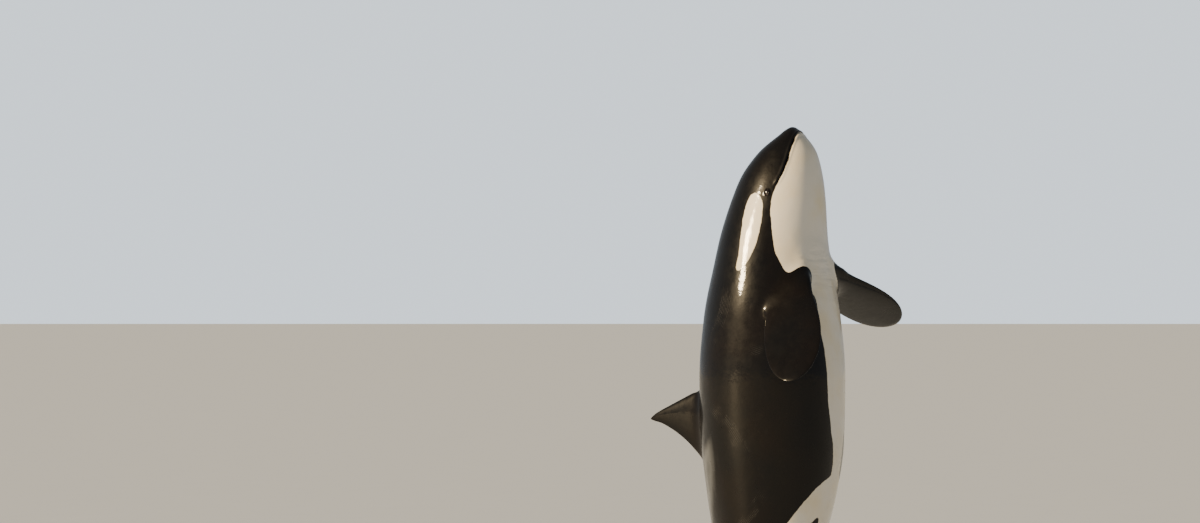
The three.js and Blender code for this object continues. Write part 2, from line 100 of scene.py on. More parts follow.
# Navel and slits of the belly: start, end, degrees off the middle line, half width; and depth.
SLITS = [(0.652, 0.694, 0, 0.006), (0.672, 0.686, 7, 0.004), (0.672, 0.686, -7, 0.004)]
SLIT_DEPTH = 0.014

# Fins. Of the span: sunk is the share inside the body, tip the share that the rounded tip takes.
# Of the thickness: thin is the share lost at the tip, thicker what the root gains; wider is what
# the root's chord gains. Edges are shares of the span and places on the body.
ROOT_FLARE = 0.2
DORSAL = {"lean": np.radians(9), "height": 0.097, "sunk": 0.16, "tip": 0.10, "wider": 0.10,
          "thick": 0.017, "thin": 0.72, "thicker": 0.45}
DORSAL_LEAD = [(0, 0.394), (0.3, 0.4075), (0.6, 0.421), (0.85, 0.4325), (1, 0.441)]
DORSAL_TRAIL = [(0, 0.510), (0.3, 0.479), (0.6, 0.459), (0.85, 0.4485), (1, 0.446)]

FLIPPER = {"length": 0.166, "sunk": 0.3, "chord": 0.088, "root": 0.84, "bulge": 0.19,
           "curve": 0.010, "wider": 0.03, "thick": 0.019, "thin": 0.74, "thicker": 0.3}
FLIPPER_POSES = [
    {"side": 1, "place": 0.238, "around": -45, "sweep": 20.5, "droop": 21, "turn": 67},
    {"side": -1, "place": 0.258, "around": -35, "sweep": 46.5, "droop": 32, "turn": 64},
]

FLUKE = {"span": 0.130, "thick": 0.0135, "thin": 0.78, "thicker": 0}
FLUKE_LEAD = [(0, 0.920), (0.25, 0.938), (0.5, 0.962), (0.75, 0.991), (1, 1.026)]
FLUKE_TRAIL = [(0, 0.996), (0.07, 1.009), (0.3, 1.021), (0.6, 1.022), (0.85, 1.024), (1, 1.031)]

# White and grey fields: place along the body and degrees round from the middle of the belly.
WHITE_EDGE = [(0.098, 81), (0.110, 82.5), (0.129, 80.5), (0.141, 77.5), (0.156, 75),
              (0.171, 72), (0.186, 69), (0.1985, 65), (0.209, 61), (0.217, 58), (0.228, 47),
              (0.245, 33), (0.262, 26.5), (0.307, 24.5), (0.340, 21.5), (0.414, 18.0), (0.455, 14),
              (0.490, 9.5), (0.520, 8.5), (0.545, 11), (0.580, 16), (0.620, 17), (0.660, 15),
              (0.700, 12), (0.716, 6), (0.726, -20)]
LIP_RIM = 2.0  # degrees of dark skin under the line of the mouth
EYE_PATCH = [(0.101, 103), (0.108, 96), (0.118, 92), (0.141, 89), (0.159, 88.5), (0.179, 90),
             (0.196, 93), (0.209, 97.5), (0.218, 103), (0.2135, 107), (0.194, 106.5),
             (0.171, 107.5), (0.149, 110), (0.133, 112), (0.112, 112), (0.103, 109)]
FLANK_PATCH = [(0.545, 4), (0.530, 13), (0.541, 26), (0.562, 38), (0.590, 51), (0.622, 65),
               (0.655, 78), (0.690, 87), (0.724, 91), (0.738, 88), (0.730, 80), (0.706, 70),
               (0.678, 58), (0.650, 46), (0.622, 36), (0.596, 28), (0.580, 18), (0.572, 4)]
FLANK_JOIN = 0.09  # metres over which the belly's white curves into the flank patch
FLUKE_WHITE = 0.90  # place behind which the white is that of the flukes' underside
UNDER_INSETS = {"lead": 0.0075, "trail": 0.0105, "stock": 0.0085}  # shares, from the edges
SADDLE = [(0.530, 182), (0.518, 168), (0.500, 155), (0.482, 143), (0.474, 133), (0.482, 127),
          (0.510, 126), (0.545, 131), (0.580, 139), (0.612, 149), (0.638, 162), (0.650, 182),
          (0.645, 200), (0.540, 200)]

# Start and reach of soft changes: metres off the body where a fin is black and where the saddle
# ends on it; and the folds of the throat, by place, degrees round and metres off.
FIN_BLACK = (0.006, 0.030)
SADDLE_END = (0.02, 0.06)
FOLDS = {"from": (0.10, 0.04), "to": (0.22, 0.10), "around": (48, 30), "off": (0, 0.03)}

# The photograph's frame: its scale at the animal, and where the snout and axis stand in it.
PHOTO_WIDTH = 1200
PHOTO_HEIGHT = 523
PIXELS_PER_METRE = 110
SNOUT_ROW = 127
AXIS_COLUMN = 771.5
HORIZON_ROW = 314


def smooth_curve(points):
    """Curve through points that never overshoots, in cubic pieces.

    The slope at a point is the weighted harmonic mean of the rises on its two sides, and 0
    where they differ in sign.
    """
    x, y = np.array(points, float).T
    h = np.diff(x)
    rise = np.diff(y) / h
    slope = np.zeros(len(x))
    before = 2 * h[1:] + h[:-1]
    after = h[1:] + 2 * h[:-1]
    same = rise[:-1] * rise[1:] > 0
    with np.errstate(divide="ignore", invalid="ignore"):
        mean = (before + after) / (before / rise[:-1] + after / rise[1:])
    slope[1:-1] = np.where(same, mean, 0)
    slope[0] = end_slope(h[0], h[1], rise[0], rise[1])
    slope[-1] = end_slope(h[-1], h[-2], rise[-1], rise[-2])

    def value(at):
        at = np.asarray(at, float)
        i = np.clip(np.searchsorted(x, at, side="left") - 1, 0, len(h) - 1)
        t = np.clip((at - x[i]) / h[i], 0, 1)
        rest = 1 - t
        level = y[i] * rest * rest * (1 + 2 * t) + y[i + 1] * t * t * (3 - 2 * t)
        return level + h[i] * (slope[i] * t * rest * rest - slope[i + 1] * t * t * rest)

    return value


def end_slope(h0, h1, rise0, rise1):
    """Slope at an end point from the two nearest pieces, kept on the curve's own side."""
    slope = ((2 * h0 + h1) * rise0 - h0 * rise1) / (h0 + h1)
    if slope * rise0 <= 0:
        return 0.0
    if rise0 * rise1 <= 0 and abs(slope) > 3 * abs(rise0):
        return 3 * rise0
    return slope


def onset(value, start, reach):
    """0 up to start, 1 from start + reach on, and 3t^2 - 2t^3 between."""
    t = np.clip((value - start) / reach, 0, 1)
    return t * t * (3 - 2 * t)


def fade(value, start, reach):
    """1 up to start, 0 from start + reach on, and 1 - 3t^2 + 2t^3 between."""
    return 1 - onset(value, start, reach)


def full_turn(count):
    """Angles of count even steps round."""
    return np.linspace(0, 2 * np.pi, count, endpoint=False)


COLUMNS = [smooth_curve(np.stack([np.sqrt(SECTIONS[:, 0]), SECTIONS[:, k]], 1))
           for k in range(1, 7)]


def section_at(place):
    """Back, belly, side, level, upper and lower exponent, read over the root of the place."""
    u = np.sqrt(np.clip(place, 0, 1))
    return [column(u) for column in COLUMNS]


def section_point(place, angle):
    """Superellipse: across = side |cos|^(2/n), height = level + reach |sin|^(2/n)."""
    back, belly, side, level, upper, lower = section_at(place)
    c, v = np.cos(angle), np.sin(angle)
    power = np.where(v >= 0, 2 / upper, 2 / lower)
    reach = np.where(v >= 0, back - level, belly + level)
    across = side * np.sign(c) * np.abs(c) ** power
    return across, level + reach * np.sign(v) * np.abs(v) ** power


def bend_at(place):
    """Turn of the axis toward the back, even from BEND_START to the end of the tail."""
    return BEND_ANGLE * onset(place, BEND_START, 1 - BEND_START)


AXIS_STEPS = 1200
AXIS_END = 1.2
AXIS_SLIDES = 12
AXIS_PLACES = np.linspace(0, AXIS_END, AXIS_STEPS + 1)
AXIS_BEND = bend_at(AXIS_PLACES[:-1] + AXIS_END / AXIS_STEPS / 2)
AXIS_Y = np.concatenate([[0], np.cumsum(np.sin(AXIS_BEND))]) * AXIS_END / AXIS_STEPS
AXIS_DOWN = np.concatenate([[0], np.cumsum(np.cos(AXIS_BEND))]) * AXIS_END / AXIS_STEPS


def to_world(place, across, height):
    """Point on the bent axis plus height along its normal: metres in the row frame."""
    place, across, height = np.broadcast_arrays(place, across, height)
    bend = bend_at(place)
    y = np.interp(place, AXIS_PLACES, AXIS_Y) + height * np.cos(bend)
    z = height * np.sin(bend) - np.interp(place, AXIS_PLACES, AXIS_DOWN) - np.minimum(place, 0)
    return np.stack([across * LENGTH, y * LENGTH + AXIS_BACK, z * LENGTH + SNOUT_HEIGHT], -1)


def to_body(points):
    """Inverse of to_world: slides each point's place until it lies square to the axis."""
    across = points[:, 0] / LENGTH
    y = (points[:, 1] - AXIS_BACK) / LENGTH
    z = (points[:, 2] - SNOUT_HEIGHT) / LENGTH
    place = -z
    for _ in range(AXIS_SLIDES):
        bend = bend_at(place)
        dy = y - np.interp(place, AXIS_PLACES, AXIS_Y)
        dz = z + np.interp(place, AXIS_PLACES, AXIS_DOWN) + np.minimum(place, 0)
        place = place + dy * np.sin(bend) - dz * np.cos(bend)
    return place, across, dy * np.cos(bend) + dz * np.sin(bend)


def round_of(place, across, height):
    """Angle round the section and the ratio to its outline (1 on the body's surface)."""
    back, belly, side, level, upper, lower = section_at(place)
    above = height >= level
    n = np.where(above, upper, lower)
    reach = np.where(above, back - level, belly + level)
    c = np.sign(across) * np.abs(across / np.maximum(side, 1e-5)) ** (n / 2)
    v = np.sign(height - level) * np.abs((height - level) / np.maximum(reach, 1e-5)) ** (n / 2)
    return np.arctan2(v, c), np.hypot(c, v) ** (2 / n)


def body_point(place, angle):
    """Point of the body's outline at a place and an angle, in the row frame."""
    return to_world(place, *section_point(place, angle))


def body_normal(place, angle):
    """Cross product of the surface's two tangents, by central differences."""
    step = 0.002
    along = body_point(place + step, angle) - body_point(place - step, angle)
    round_way = body_point(place, angle + step) - body_point(place, angle - step)
    normal = np.cross(along, round_way)
    return normal / np.linalg.norm(normal, axis=-1, keepdims=True)


def lower_angle(place, height):
    """Angle on the left side, below the widest line, whose height is the one given."""
    _, belly, _, level, _, lower = section_at(place)
    share = np.clip((level - height) / (belly + level), 0, 1)
    return -np.arcsin(share ** (lower / 2))


mouth_height = smooth_curve(MOUTH_LINE)


def mouth_angle(place):
    """Angle on the left side at which the line of the mouth runs."""
    return lower_angle(place, mouth_height(place))


def shade(mesh, smooth):
    """Smooth or flat shading on every face."""
    mesh.polygons.foreach_set("use_smooth", np.full(len(mesh.polygons), smooth))


def write_fields(mesh, **fields):
    """One attribute of the points for each named array, for the materials to read."""
    for name, values in fields.items():
        layer = mesh.attributes.new(name, "FLOAT", "POINT")
        layer.data.foreach_set("value", values.astype(np.float32))


def new_piece(name, points, faces, slot, material):
    """Mesh object at the origin from points and faces, smooth, riding on the one body."""
    mesh = bpy.data.meshes.new(name)
    mesh.from_pydata(points, [], faces)
    mesh.validate()
    shade(mesh, True)
    piece = bpy.data.objects.new(name, mesh)
    bpy.context.scene.collection.objects.link(piece)
    if material is not None:
        mesh.materials.append(material)
    if slot is not None:
        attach(piece, "root")
    return piece


def ring_faces(rings, count, closed=False):
    """Quads between rings of equal count, joined round, and the last ring to the first."""
    i = np.arange(rings if closed else rings - 1)[:, None]
    j = np.arange(count)[None, :]
    a, b = i * count, ((i + 1) % rings) * count
    k = (j + 1) % count
    return np.stack([a + j, a + k, b + k, b + j], -1).reshape(-1, 4)


def skin_rings(rings, closed=False):
    """Closed shell over rings (count, sides, 3): quads, and a fan on a pole at each end."""
    count, sides = rings.shape[:2]
    points = rings.reshape(-1, 3)
    quads = ring_faces(count, sides, closed)
    fans = np.empty((0, 3), int)
    if not closed:
        first, last = len(points), len(points) + 1
        points = np.concatenate([points, rings[[0, -1]].mean(1)])
        j = np.arange(sides)
        k = (j + 1) % sides
        tail = (count - 1) * sides
        fans = np.concatenate([np.stack([np.full(sides, first), k, j], -1),
                               np.stack([np.full(sides, last), tail + j, tail + k], -1)])
    triangles = np.concatenate([quads[:, [0, 1, 2]], quads[:, [0, 2, 3]], fans])
    p, q, r = (points[triangles[:, k]] for k in range(3))
    if np.einsum("ij,ij->", p, np.cross(q, r)) < 0:
        quads, fans = quads[:, ::-1], fans[:, ::-1]
    return points, [*quads.tolist(), *fans.tolist()]


def roll_along(path, normals, width, rise, sides=10, closed=False):
    """Elliptic roll along a path: half sizes width (on the skin) and rise (off it), per point."""
    ahead = np.roll(path, -1, 0) - np.roll(path, 1, 0)
    if not closed:
        ahead[0] = path[1] - path[0]
        ahead[-1] = path[-1] - path[-2]
    across = np.cross(normals, ahead)
    across /= np.linalg.norm(across, axis=1, keepdims=True)
    angle = full_turn(sides)
    width, rise = np.broadcast_to(width, len(path)), np.broadcast_to(rise, len(path))
    ring = across[:, None] * (width[:, None] * np.cos(angle))[..., None]
    ring = ring + normals[:, None] * (rise[:, None] * np.sin(angle))[..., None]
    return skin_rings(path[:, None] + ring, closed)


# The shell of the body, fine at the head, with one row of points along the line of the mouth.
HEAD_RINGS = 104
HEAD_END = 0.175
MOUTH_RINGS = 22
MOUTH_BAND = (-0.0030, 0.0035)  # about the front of the mouth
BODY_STEP = 0.0043
LEAST_STEP = 0.0002
ROWS_BELOW = 38
ROWS_ABOVE = 62
ROW_CROWD = 2.4  # how close the rows stand at the mouth
CROWD_FADE = (0.11, 0.10)  # from this place on, over this reach
ROW_LOWEST = np.radians(-78)
ROW_REST = np.radians(-14)  # where the mouth's row runs on behind it
REST_REACH = 0.12
CORNER_FADE = (0.93, 0.075)  # shares of the way from the middle of the mouth to a corner
TAIL_CLOSES, TAIL_CLOSING = 0.972, 0.0286  # place where the tail starts to close, and its way
FIRST_NORMAL = 0.0021  # nearer the snout, a normal is taken here


def ring_places():
    """Places of the rings: even in their root over the head, close at the mouth's front."""
    head = np.linspace(0.02, np.sqrt(HEAD_END), HEAD_RINGS) ** 2
    front = MOUTH_FRONT + np.linspace(*MOUTH_BAND, MOUTH_RINGS)
    body = np.arange(HEAD_END + BODY_STEP, 0.999, BODY_STEP)
    places = np.unique(np.concatenate([head, front, body, [1.0]]))
    keep = np.concatenate([[True], np.diff(places) > LEAST_STEP])
    return places[keep]


def crowded(count, crowd):
    """Shares from 0 to 1 that start close together: (e^(ct) - 1) / (e^c - 1)."""
    t = np.linspace(0, 1, count + 1)
    crowd, least = crowd[:, None], 0.05
    return np.where(crowd > least, np.expm1(crowd * t) / np.expm1(np.maximum(crowd, least)), t)


def row_angles(places):
    """Angles of the rows of one side from belly to back, closest together at the mouth."""
    crowd = ROW_CROWD * fade(places, *CROWD_FADE)
    inside = np.clip(places, MOUTH_FRONT, MOUTH_CORNER)
    line = np.maximum(mouth_angle(inside), ROW_LOWEST)
    line = line + (ROW_REST - line) * onset(places, MOUTH_CORNER, REST_REACH)
    low, high = -np.pi / 2, np.pi / 2
    below = line[:, None] + (low - line)[:, None] * crowded(ROWS_BELOW, crowd)
    above = line[:, None] + (high - line)[:, None] * crowded(ROWS_ABOVE, crowd)
    return np.concatenate([below[:, :0:-1], above], 1)


def mouth_path(count):
    """Line of the mouth from the left corner round under the snout to the right corner."""
    t = np.linspace(-1, 1, count)
    place = MOUTH_FRONT + (MOUTH_CORNER - MOUTH_FRONT) * t * t
    left = mouth_angle(place)
    angle = np.where(t < 0, left, -np.pi - left)
    return body_point(place, angle), np.abs(t)


def nearest_on(points, path, chunk=4000):
    """Distance from each point to a polyline and the share along it where it is nearest."""
    start, step = path[:-1], np.diff(path, axis=0)
    square = np.maximum((step ** 2).sum(1), 1e-12)
    distance = np.empty(len(points))
    share = np.empty(len(points))
    for low in range(0, len(points), chunk):
        off = points[low:low + chunk, None] - start
        t = np.clip((off * step).sum(2) / square, 0, 1)
        gap = np.sqrt(((off - t[..., None] * step) ** 2).sum(2))
        best = gap.argmin(1)
        line = np.arange(len(best))
        distance[low:low + chunk] = gap[line, best]
        share[low:low + chunk] = (best + t[line, best]) / len(start)
    return distance, share


def carve_mouth(points, normals, angle, place):
    """Narrow groove along the line of the mouth, a full upper lip and a softer lower one."""
    path, _ = mouth_path(241)
    near = place < MOUTH_CORNER + 0.02
    distance, share = nearest_on(points[near], path)
    corner = np.abs(2 * share - 1)
    left_over = fade(corner, *CORNER_FADE)
    upper = angle[near] > mouth_angle(np.clip(place[near], MOUTH_FRONT, MOUTH_CORNER))
    upper |= place[near] < MOUTH_FRONT
    groove = -GROOVE["depth"] * np.exp(-(distance / GROOVE["width"]) ** 2)
    rise = np.where(upper, LIPS["upper"], LIPS["lower"])
    lip = rise * np.exp(-((distance - LIPS["from_line"]) / LIPS["width"]) ** 2)
    moved = points.copy()
    moved[near] += normals[near] * ((groove + lip) * left_over)[:, None]
    return moved


def left_angle(angle, on_left):
    """Angles of both sides as the left side's own: those of the right side are mirrored."""
    return np.where(on_left, angle, np.where(angle > 0, np.pi - angle, -np.pi - angle))


def tail_round(place):
    """Share of the section kept near the notch, so the tail's end closes in a quarter circle."""
    return np.sqrt(1 - np.clip((place - TAIL_CLOSES) / TAIL_CLOSING, 0, 1) ** 2)


def body_shell():
    """Rings of the loft with the mouth carved in, as points and faces."""
    places = ring_places()
    left = row_angles(places)
    right = np.pi - left[:, -2:0:-1]
    angle = np.concatenate([left, right], 1)
    place = np.broadcast_to(places[:, None], angle.shape)
    rings = body_point(place, angle)
    axis = to_world(places, 0, 0)[:, None]
    rings = axis + (rings - axis) * tail_round(places)[:, None, None]
    normals = body_normal(np.maximum(place, FIRST_NORMAL), angle)
    mirrored = left_angle(angle, np.cos(angle) >= 0)
    carved = carve_mouth(rings.reshape(-1, 3), normals.reshape(-1, 3), mirrored.ravel(),
                         place.ravel())
    return skin_rings(carved.reshape(rings.shape))


# Fins: rings along the span, each an aerofoil between its leading and its trailing edge.
FIN_SIDES = 56
LEAST_THICK = 1e-4


def fin_steps(start, count, both=False):
    """Steps of the span, close together toward the tip, or toward both tips."""
    v = np.linspace(0, 1, count)
    if both:
        return np.sin((v - 0.5) * np.pi)
    return start + (1 - start) * (1 - (1 - v) ** 1.7)


def fin_shell(lead, trail, up, thick):
    """Chord share c = (1 + cos a) / 2, half thickness = thick / 2 sin a (0.35 + 0.65 sqrt c)."""
    angle = full_turn(FIN_SIDES)
    chord = (1 + np.cos(angle)) / 2
    half = np.sin(angle) * (0.35 + 0.65 * np.sqrt(chord)) / 2
    rings = trail[:, None] + (lead - trail)[:, None] * chord[None, :, None]
    rings = rings + up * (np.maximum(thick, LEAST_THICK)[:, None] * half)[..., None]
    return skin_rings(to_world(rings[..., 0], rings[..., 1], rings[..., 2]))


def flare(t, reach, amount):
    """1 plus a square growth toward the root, within reach of it."""
    return 1 + amount * np.clip(1 - t / reach, 0, 2) ** 2


def tip_round(t, power):
    """Share left toward the tip: the root of 1 - t^power, blunter for a higher power."""
    return np.sqrt(np.clip(1 - np.clip(t, 0, 1) ** power, 0, 1))


def thickness(fin, t):
    """Thickness along a fin's span: less toward the tip, more where the root flares."""
    even = fin["thick"] * (1 - fin["thin"] * np.maximum(t, 0))
    return even * flare(t, ROOT_FLARE, fin["thicker"])


def dorsal_shell():
    """Fin between its two edges, leaning to the left; the tip's chord closes in a circle."""
    lean, sunk, tip = DORSAL["lean"], DORSAL["sunk"], DORSAL["tip"]
    t = fin_steps(-sunk, 46)
    open_t = np.maximum(t, 0)
    grow = flare(t, sunk, DORSAL["wider"]) - 1
    root = section_at(DORSAL_LEAD[0][1])[0]
    high = t * DORSAL["height"]
    across = np.sin(lean) * high
    height = root + np.cos(lean) * high
    front = smooth_curve(DORSAL_LEAD)(open_t) - 0.03 * grow
    rear = smooth_curve(DORSAL_TRAIL)(open_t) + 0.05 * grow
    middle, half = (front + rear) / 2, (rear - front) / 2
    half = half * np.sqrt(1.0001 - np.clip((t - (1 - tip)) / tip, 0, 1) ** 2)
    lead = np.stack([middle - half, across, height], -1)
    trail = np.stack([middle + half, across, height], -1)
    up = np.array([0, np.cos(lean), -np.sin(lean)])
    return fin_shell(lead, trail, up, thickness(DORSAL, t) * tip_round(t, 8))


def flipper_shell(pose):
    """Paddle whose middle line runs from the root along the span and bends back by curve t^2."""
    sweep, droop, turn = np.radians([pose["sweep"], pose["droop"], pose["turn"]])
    root = np.array([pose["place"], *section_point(pose["place"], np.radians(pose["around"]))])
    outward = np.array([np.cos(droop), -np.sin(droop)])
    span = np.array([np.sin(sweep), *(np.cos(sweep) * outward)])
    forward = np.array([-np.cos(sweep), *(np.sin(sweep) * outward)])
    flat = np.array([0, np.sin(droop), np.cos(droop)])
    chord_way = forward * np.cos(turn) - flat * np.sin(turn)
    up = flat * np.cos(turn) + forward * np.sin(turn)
    t = fin_steps(-FLIPPER["sunk"], 64)
    open_t = np.maximum(t, 0)
    fullness = FLIPPER["root"] + FLIPPER["bulge"] * np.sin(0.9 * np.pi * open_t)
    tip = tip_round(open_t, 5)
    chord = FLIPPER["chord"] * fullness * tip * flare(t, 0.12, FLIPPER["wider"])
    middle = root + np.outer(t * FLIPPER["length"], span)
    middle = middle - np.outer(FLIPPER["curve"] * open_t ** 2, chord_way)
    thick = thickness(FLIPPER, t) * np.minimum(1, 2.2 * tip)
    sided = np.array([1, pose["side"], 1])
    half = np.outer(chord, chord_way) / 2
    return fin_shell((middle + half) * sided, (middle - half) * sided, up * sided, thick)


def fluke_shell():
    """Both flukes as one blade from tip to tip, its notch in the middle of the trailing edge."""
    t = fin_steps(0, 97, both=True)
    away = np.abs(t)
    lead, trail = (np.stack([smooth_curve(edge)(away), t * FLUKE["span"], 0 * t], -1)
                   for edge in (FLUKE_LEAD, FLUKE_TRAIL))
    thick = thickness(FLUKE, away) * tip_round(away, 12)
    return fin_shell(lead, trail, np.array([0, 0, 1.0]), thick)


# Lids, in metres: a soft ring round each eye, high where the ball is, run out on the skin.
LID = {"open": (0.024, 0.0145), "flat": 0.85, "reach": 0.060, "depth": 0.016, "fall": 0.016,
       "over_ball": 0.0028, "droop": 0.0035, "droop_fall": 0.03, "sunk": 0.0012,
       "crease": 0.0022, "crease_from": 0.015, "crease_width": 0.0035}
# Metres out from the opening's edge, and the fall of the rounded edge over the first five.
LID_STEPS = np.array([-0.0035, -0.003, -0.0015, 0, 0.0015, 0.004, 0.008, 0.013, 0.019, 0.027,
                      0.038, 0.050, LID["reach"]])
LID_EDGE = [-0.010, -0.003, -0.0008, 0, 0]


def eye_centre(side):
    """Centre of the ball, whose top stands proud of the skin, and the skin's normal."""
    angle = lower_angle(EYE["place"], EYE["height"])
    angle = angle if side > 0 else np.pi - angle
    point, normal = body_point(EYE["place"], angle), body_normal(EYE["place"], angle)
    return point + normal * (EYE["proud"] - EYE["radius"]), normal


def skin_at(place, height, side):
    """Points and normals of one flank: the angle whose sine is the height's share ^ (n / 2)."""
    back, belly, _, level, upper, lower = section_at(place)
    below = height < level
    share = np.where(below, (level - height) / (belly + level), (height - level) / (back - level))
    power = np.where(below, lower, upper) / 2
    angle = np.arcsin(np.clip(share, 0, 1) ** power) * np.where(below, -1, 1)
    angle = np.where(side > 0, angle, np.pi - angle)
    return body_point(place, angle), body_normal(place, angle)


def lid_shell(side):
    """Ring over an almond opening: rise falls from the margin as exp(-(r / fall)^2)."""
    u = full_turn(72)
    a, b = LID["open"]
    ball = EYE["radius"] ** 2 - (a * np.cos(u)) ** 2 - (b * np.sin(u)) ** 2
    ball = np.sqrt(np.maximum(ball, 0))
    margin = ball - (EYE["radius"] - EYE["proud"]) + LID["over_ball"]
    r, along = np.meshgrid(LID_STEPS, u)
    droop = LID["droop"] * np.sin(2 * u)[:, None] * np.exp(-r / LID["droop_fall"])
    place = EYE["place"] + (a + r) * np.cos(along) / LENGTH
    height = EYE["height"] + ((b + r * LID["flat"]) * np.sin(along) + droop) / LENGTH
    fall = np.exp(-(np.maximum(r, 0) / LID["fall"]) ** 2)
    crease = np.exp(-((r - LID["crease_from"]) / LID["crease_width"]) ** 2)
    crease = -LID["crease"] * crease * np.abs(np.sin(along)) ** 0.5
    round_in = np.interp(LID_STEPS, LID_STEPS[:5], LID_EDGE)
    rise = margin[:, None] * fall + crease + round_in
    rise = rise - LID["sunk"] * np.clip(r / LID["reach"], 0, 1)
    points, normals = skin_at(place, height, side)
    top = points + normals * rise[..., None]
    under = (points - normals * LID["depth"])[:, [-1, 0]]
    return skin_rings(np.concatenate([top, under], 1), closed=True)


def blowhole_path(count):
    """Crescent over the top of the head, its ends drawn toward the snout."""
    t = np.linspace(-1, 1, count)
    place = BLOWHOLE["place"] - BLOWHOLE["sag"] * t * t / LENGTH
    share = t * BLOWHOLE["half_width"] / LENGTH / section_at(place)[2]
    angle = np.pi / 2 - np.arcsin(share)
    return body_point(place, angle), body_normal(place, angle), t


def ventral_path(start, end, away, count=24):
    """Straight slit along the belly, away degrees from its middle line."""
    place = np.linspace(start, end, count)
    angle = np.full(count, -np.pi / 2 + np.radians(away))
    return body_point(place, angle), body_normal(place, angle), np.linspace(-1, 1, count)


def taper(t):
    """Half size along a roll: full in the middle, run out at both ends."""
    return np.sqrt(np.clip(1 - t ** 4, 0.0004, 1))


def join_to(piece, shell, how):
    """Adds or cuts one closed shell with a boolean modifier and applies it."""
    tool = new_piece("tool", *shell, None, None)
    modifier = piece.modifiers.new("join", "BOOLEAN")
    modifier.operation = how
    modifier.solver = "MANIFOLD"
    modifier.object = tool
    bpy.context.view_layer.update()
    ready = piece.evaluated_get(bpy.context.evaluated_depsgraph_get())
    mesh = bpy.data.meshes.new_from_object(ready)
    piece.modifiers.clear()
    old = piece.data
    piece.data = mesh
    bpy.data.meshes.remove(old)
    bpy.data.objects.remove(tool)


def read_rows(items, name, size, kind=float):
    """Values of one name from a mesh's points or edges, in rows of the size."""
    values = np.empty(len(items) * size, kind)
    items.foreach_get(name, values)
    return values.reshape(-1, size)


def read_mesh(mesh):
    """Points and edges of a mesh."""
    return read_rows(mesh.vertices, "co", 3), read_rows(mesh.edges, "vertices", 2, int)


def off_skin(points):
    """Distance off the body's loft, about: (ratio - 1) times the section's radius."""
    place, across, height = to_body(points)
    level = section_at(place)[3]
    _, ratio = round_of(place, across, height)
    return (ratio - 1) * np.hypot(across, height - level) / np.maximum(ratio, 0.2) * LENGTH, place


# Softened roots: metres they reach, number of passes and the share moved in each.
FILLET_REACH = 0.11
FLUKE_FILLET_REACH = 0.05
FILLET_PASSES = 60
RIM_PASSES = 8
RELAX_SHARE = 0.6
FIN_HEIGHT = 0.012  # metres off the body where a fin counts as begun
HEAD_PLACE = 0.19  # the fins stand behind it
FLUKE_PLACE = 0.88  # behind it, the roots are those of the flukes
FAR = 9.0  # metres, past every distance that matters


def soften_roots(mesh):
    """Draws the points near each fin's root toward their neighbours' mean, so flesh flows in."""
    points, edges = read_mesh(mesh)
    off, place = off_skin(points)
    fin = off > FIN_HEIGHT
    touching = np.zeros(len(points), bool)
    crossing = fin[edges[:, 0]] != fin[edges[:, 1]]
    touching[edges[crossing].ravel()] = True
    touching &= (place > HEAD_PLACE) & (place < 0.99)
    seam = points[touching]
    gap = np.full(len(points), FAR)
    ids = np.nonzero((place > 0.17) & (place < 1.0))[0]
    chunk = 4000
    for low in range(0, len(ids), chunk):
        part = ids[low:low + chunk]
        gap[part] = np.sqrt(((points[part, None] - seam[None]) ** 2).sum(2).min(1))
    hold = np.where(place > FLUKE_PLACE, FLUKE_FILLET_REACH, FILLET_REACH)
    relax(mesh, points, edges, fade(gap, 0, hold)[:, None] * RELAX_SHARE, FILLET_PASSES)


def soften_along(mesh, path, reach):
    """Runs a raised rim out on the skin: points near the path drawn toward their neighbours."""
    points, edges = read_mesh(mesh)
    near = np.abs(points - path.mean(0)).max(1) < np.ptp(path, axis=0).max() / 2 + 2 * reach
    gap = np.full(len(points), FAR)
    gap[near] = nearest_on(points[near], path)[0]
    relax(mesh, points, edges, fade(gap, 0, reach)[:, None] * RELAX_SHARE, RIM_PASSES)


def relax(mesh, points, edges, weight, passes):
    """Moves each point its weight's share toward the mean of its neighbours, pass by pass."""
    degree = np.bincount(edges.ravel(), minlength=len(points))[:, None]
    for _ in range(passes):
        total = np.zeros_like(points)
        for k in range(3):
            total[:, k] = np.bincount(edges[:, 0], points[edges[:, 1], k], len(points))
            total[:, k] += np.bincount(edges[:, 1], points[edges[:, 0], k], len(points))
        points += weight * (total / np.maximum(degree, 1) - points)
    mesh.vertices.foreach_set("co", points.ravel())
    mesh.update()


def field_distance(x, y, outline):
    """Signed distance in the plane to a closed outline, positive inside."""
    a, b = outline, np.roll(outline, -1, 0)
    best = np.full(len(x), FAR)
    inside = np.zeros(len(x), bool)
    for (ax, ay), (bx, by) in zip(a, b):
        ex, ey = bx - ax, by - ay
        t = np.clip(((x - ax) * ex + (y - ay) * ey) / (ex * ex + ey * ey + 1e-12), 0, 1)
        best = np.minimum(best, np.hypot(x - ax - t * ex, y - ay - t * ey))
        crossing = (ay > y) != (by > y)
        inside ^= crossing & (x < ax + ex * (y - ay) / (ey if ey else 1e-12))
    return np.where(inside, best, -best)


def merged(a, b, reach):
    """Greater of two fields, with the corner between them filled in a curve of the reach."""
    share = np.clip(0.5 + (a - b) / reach / 2, 0, 1)
    return b + (a - b) * share + reach * share * (1 - share)


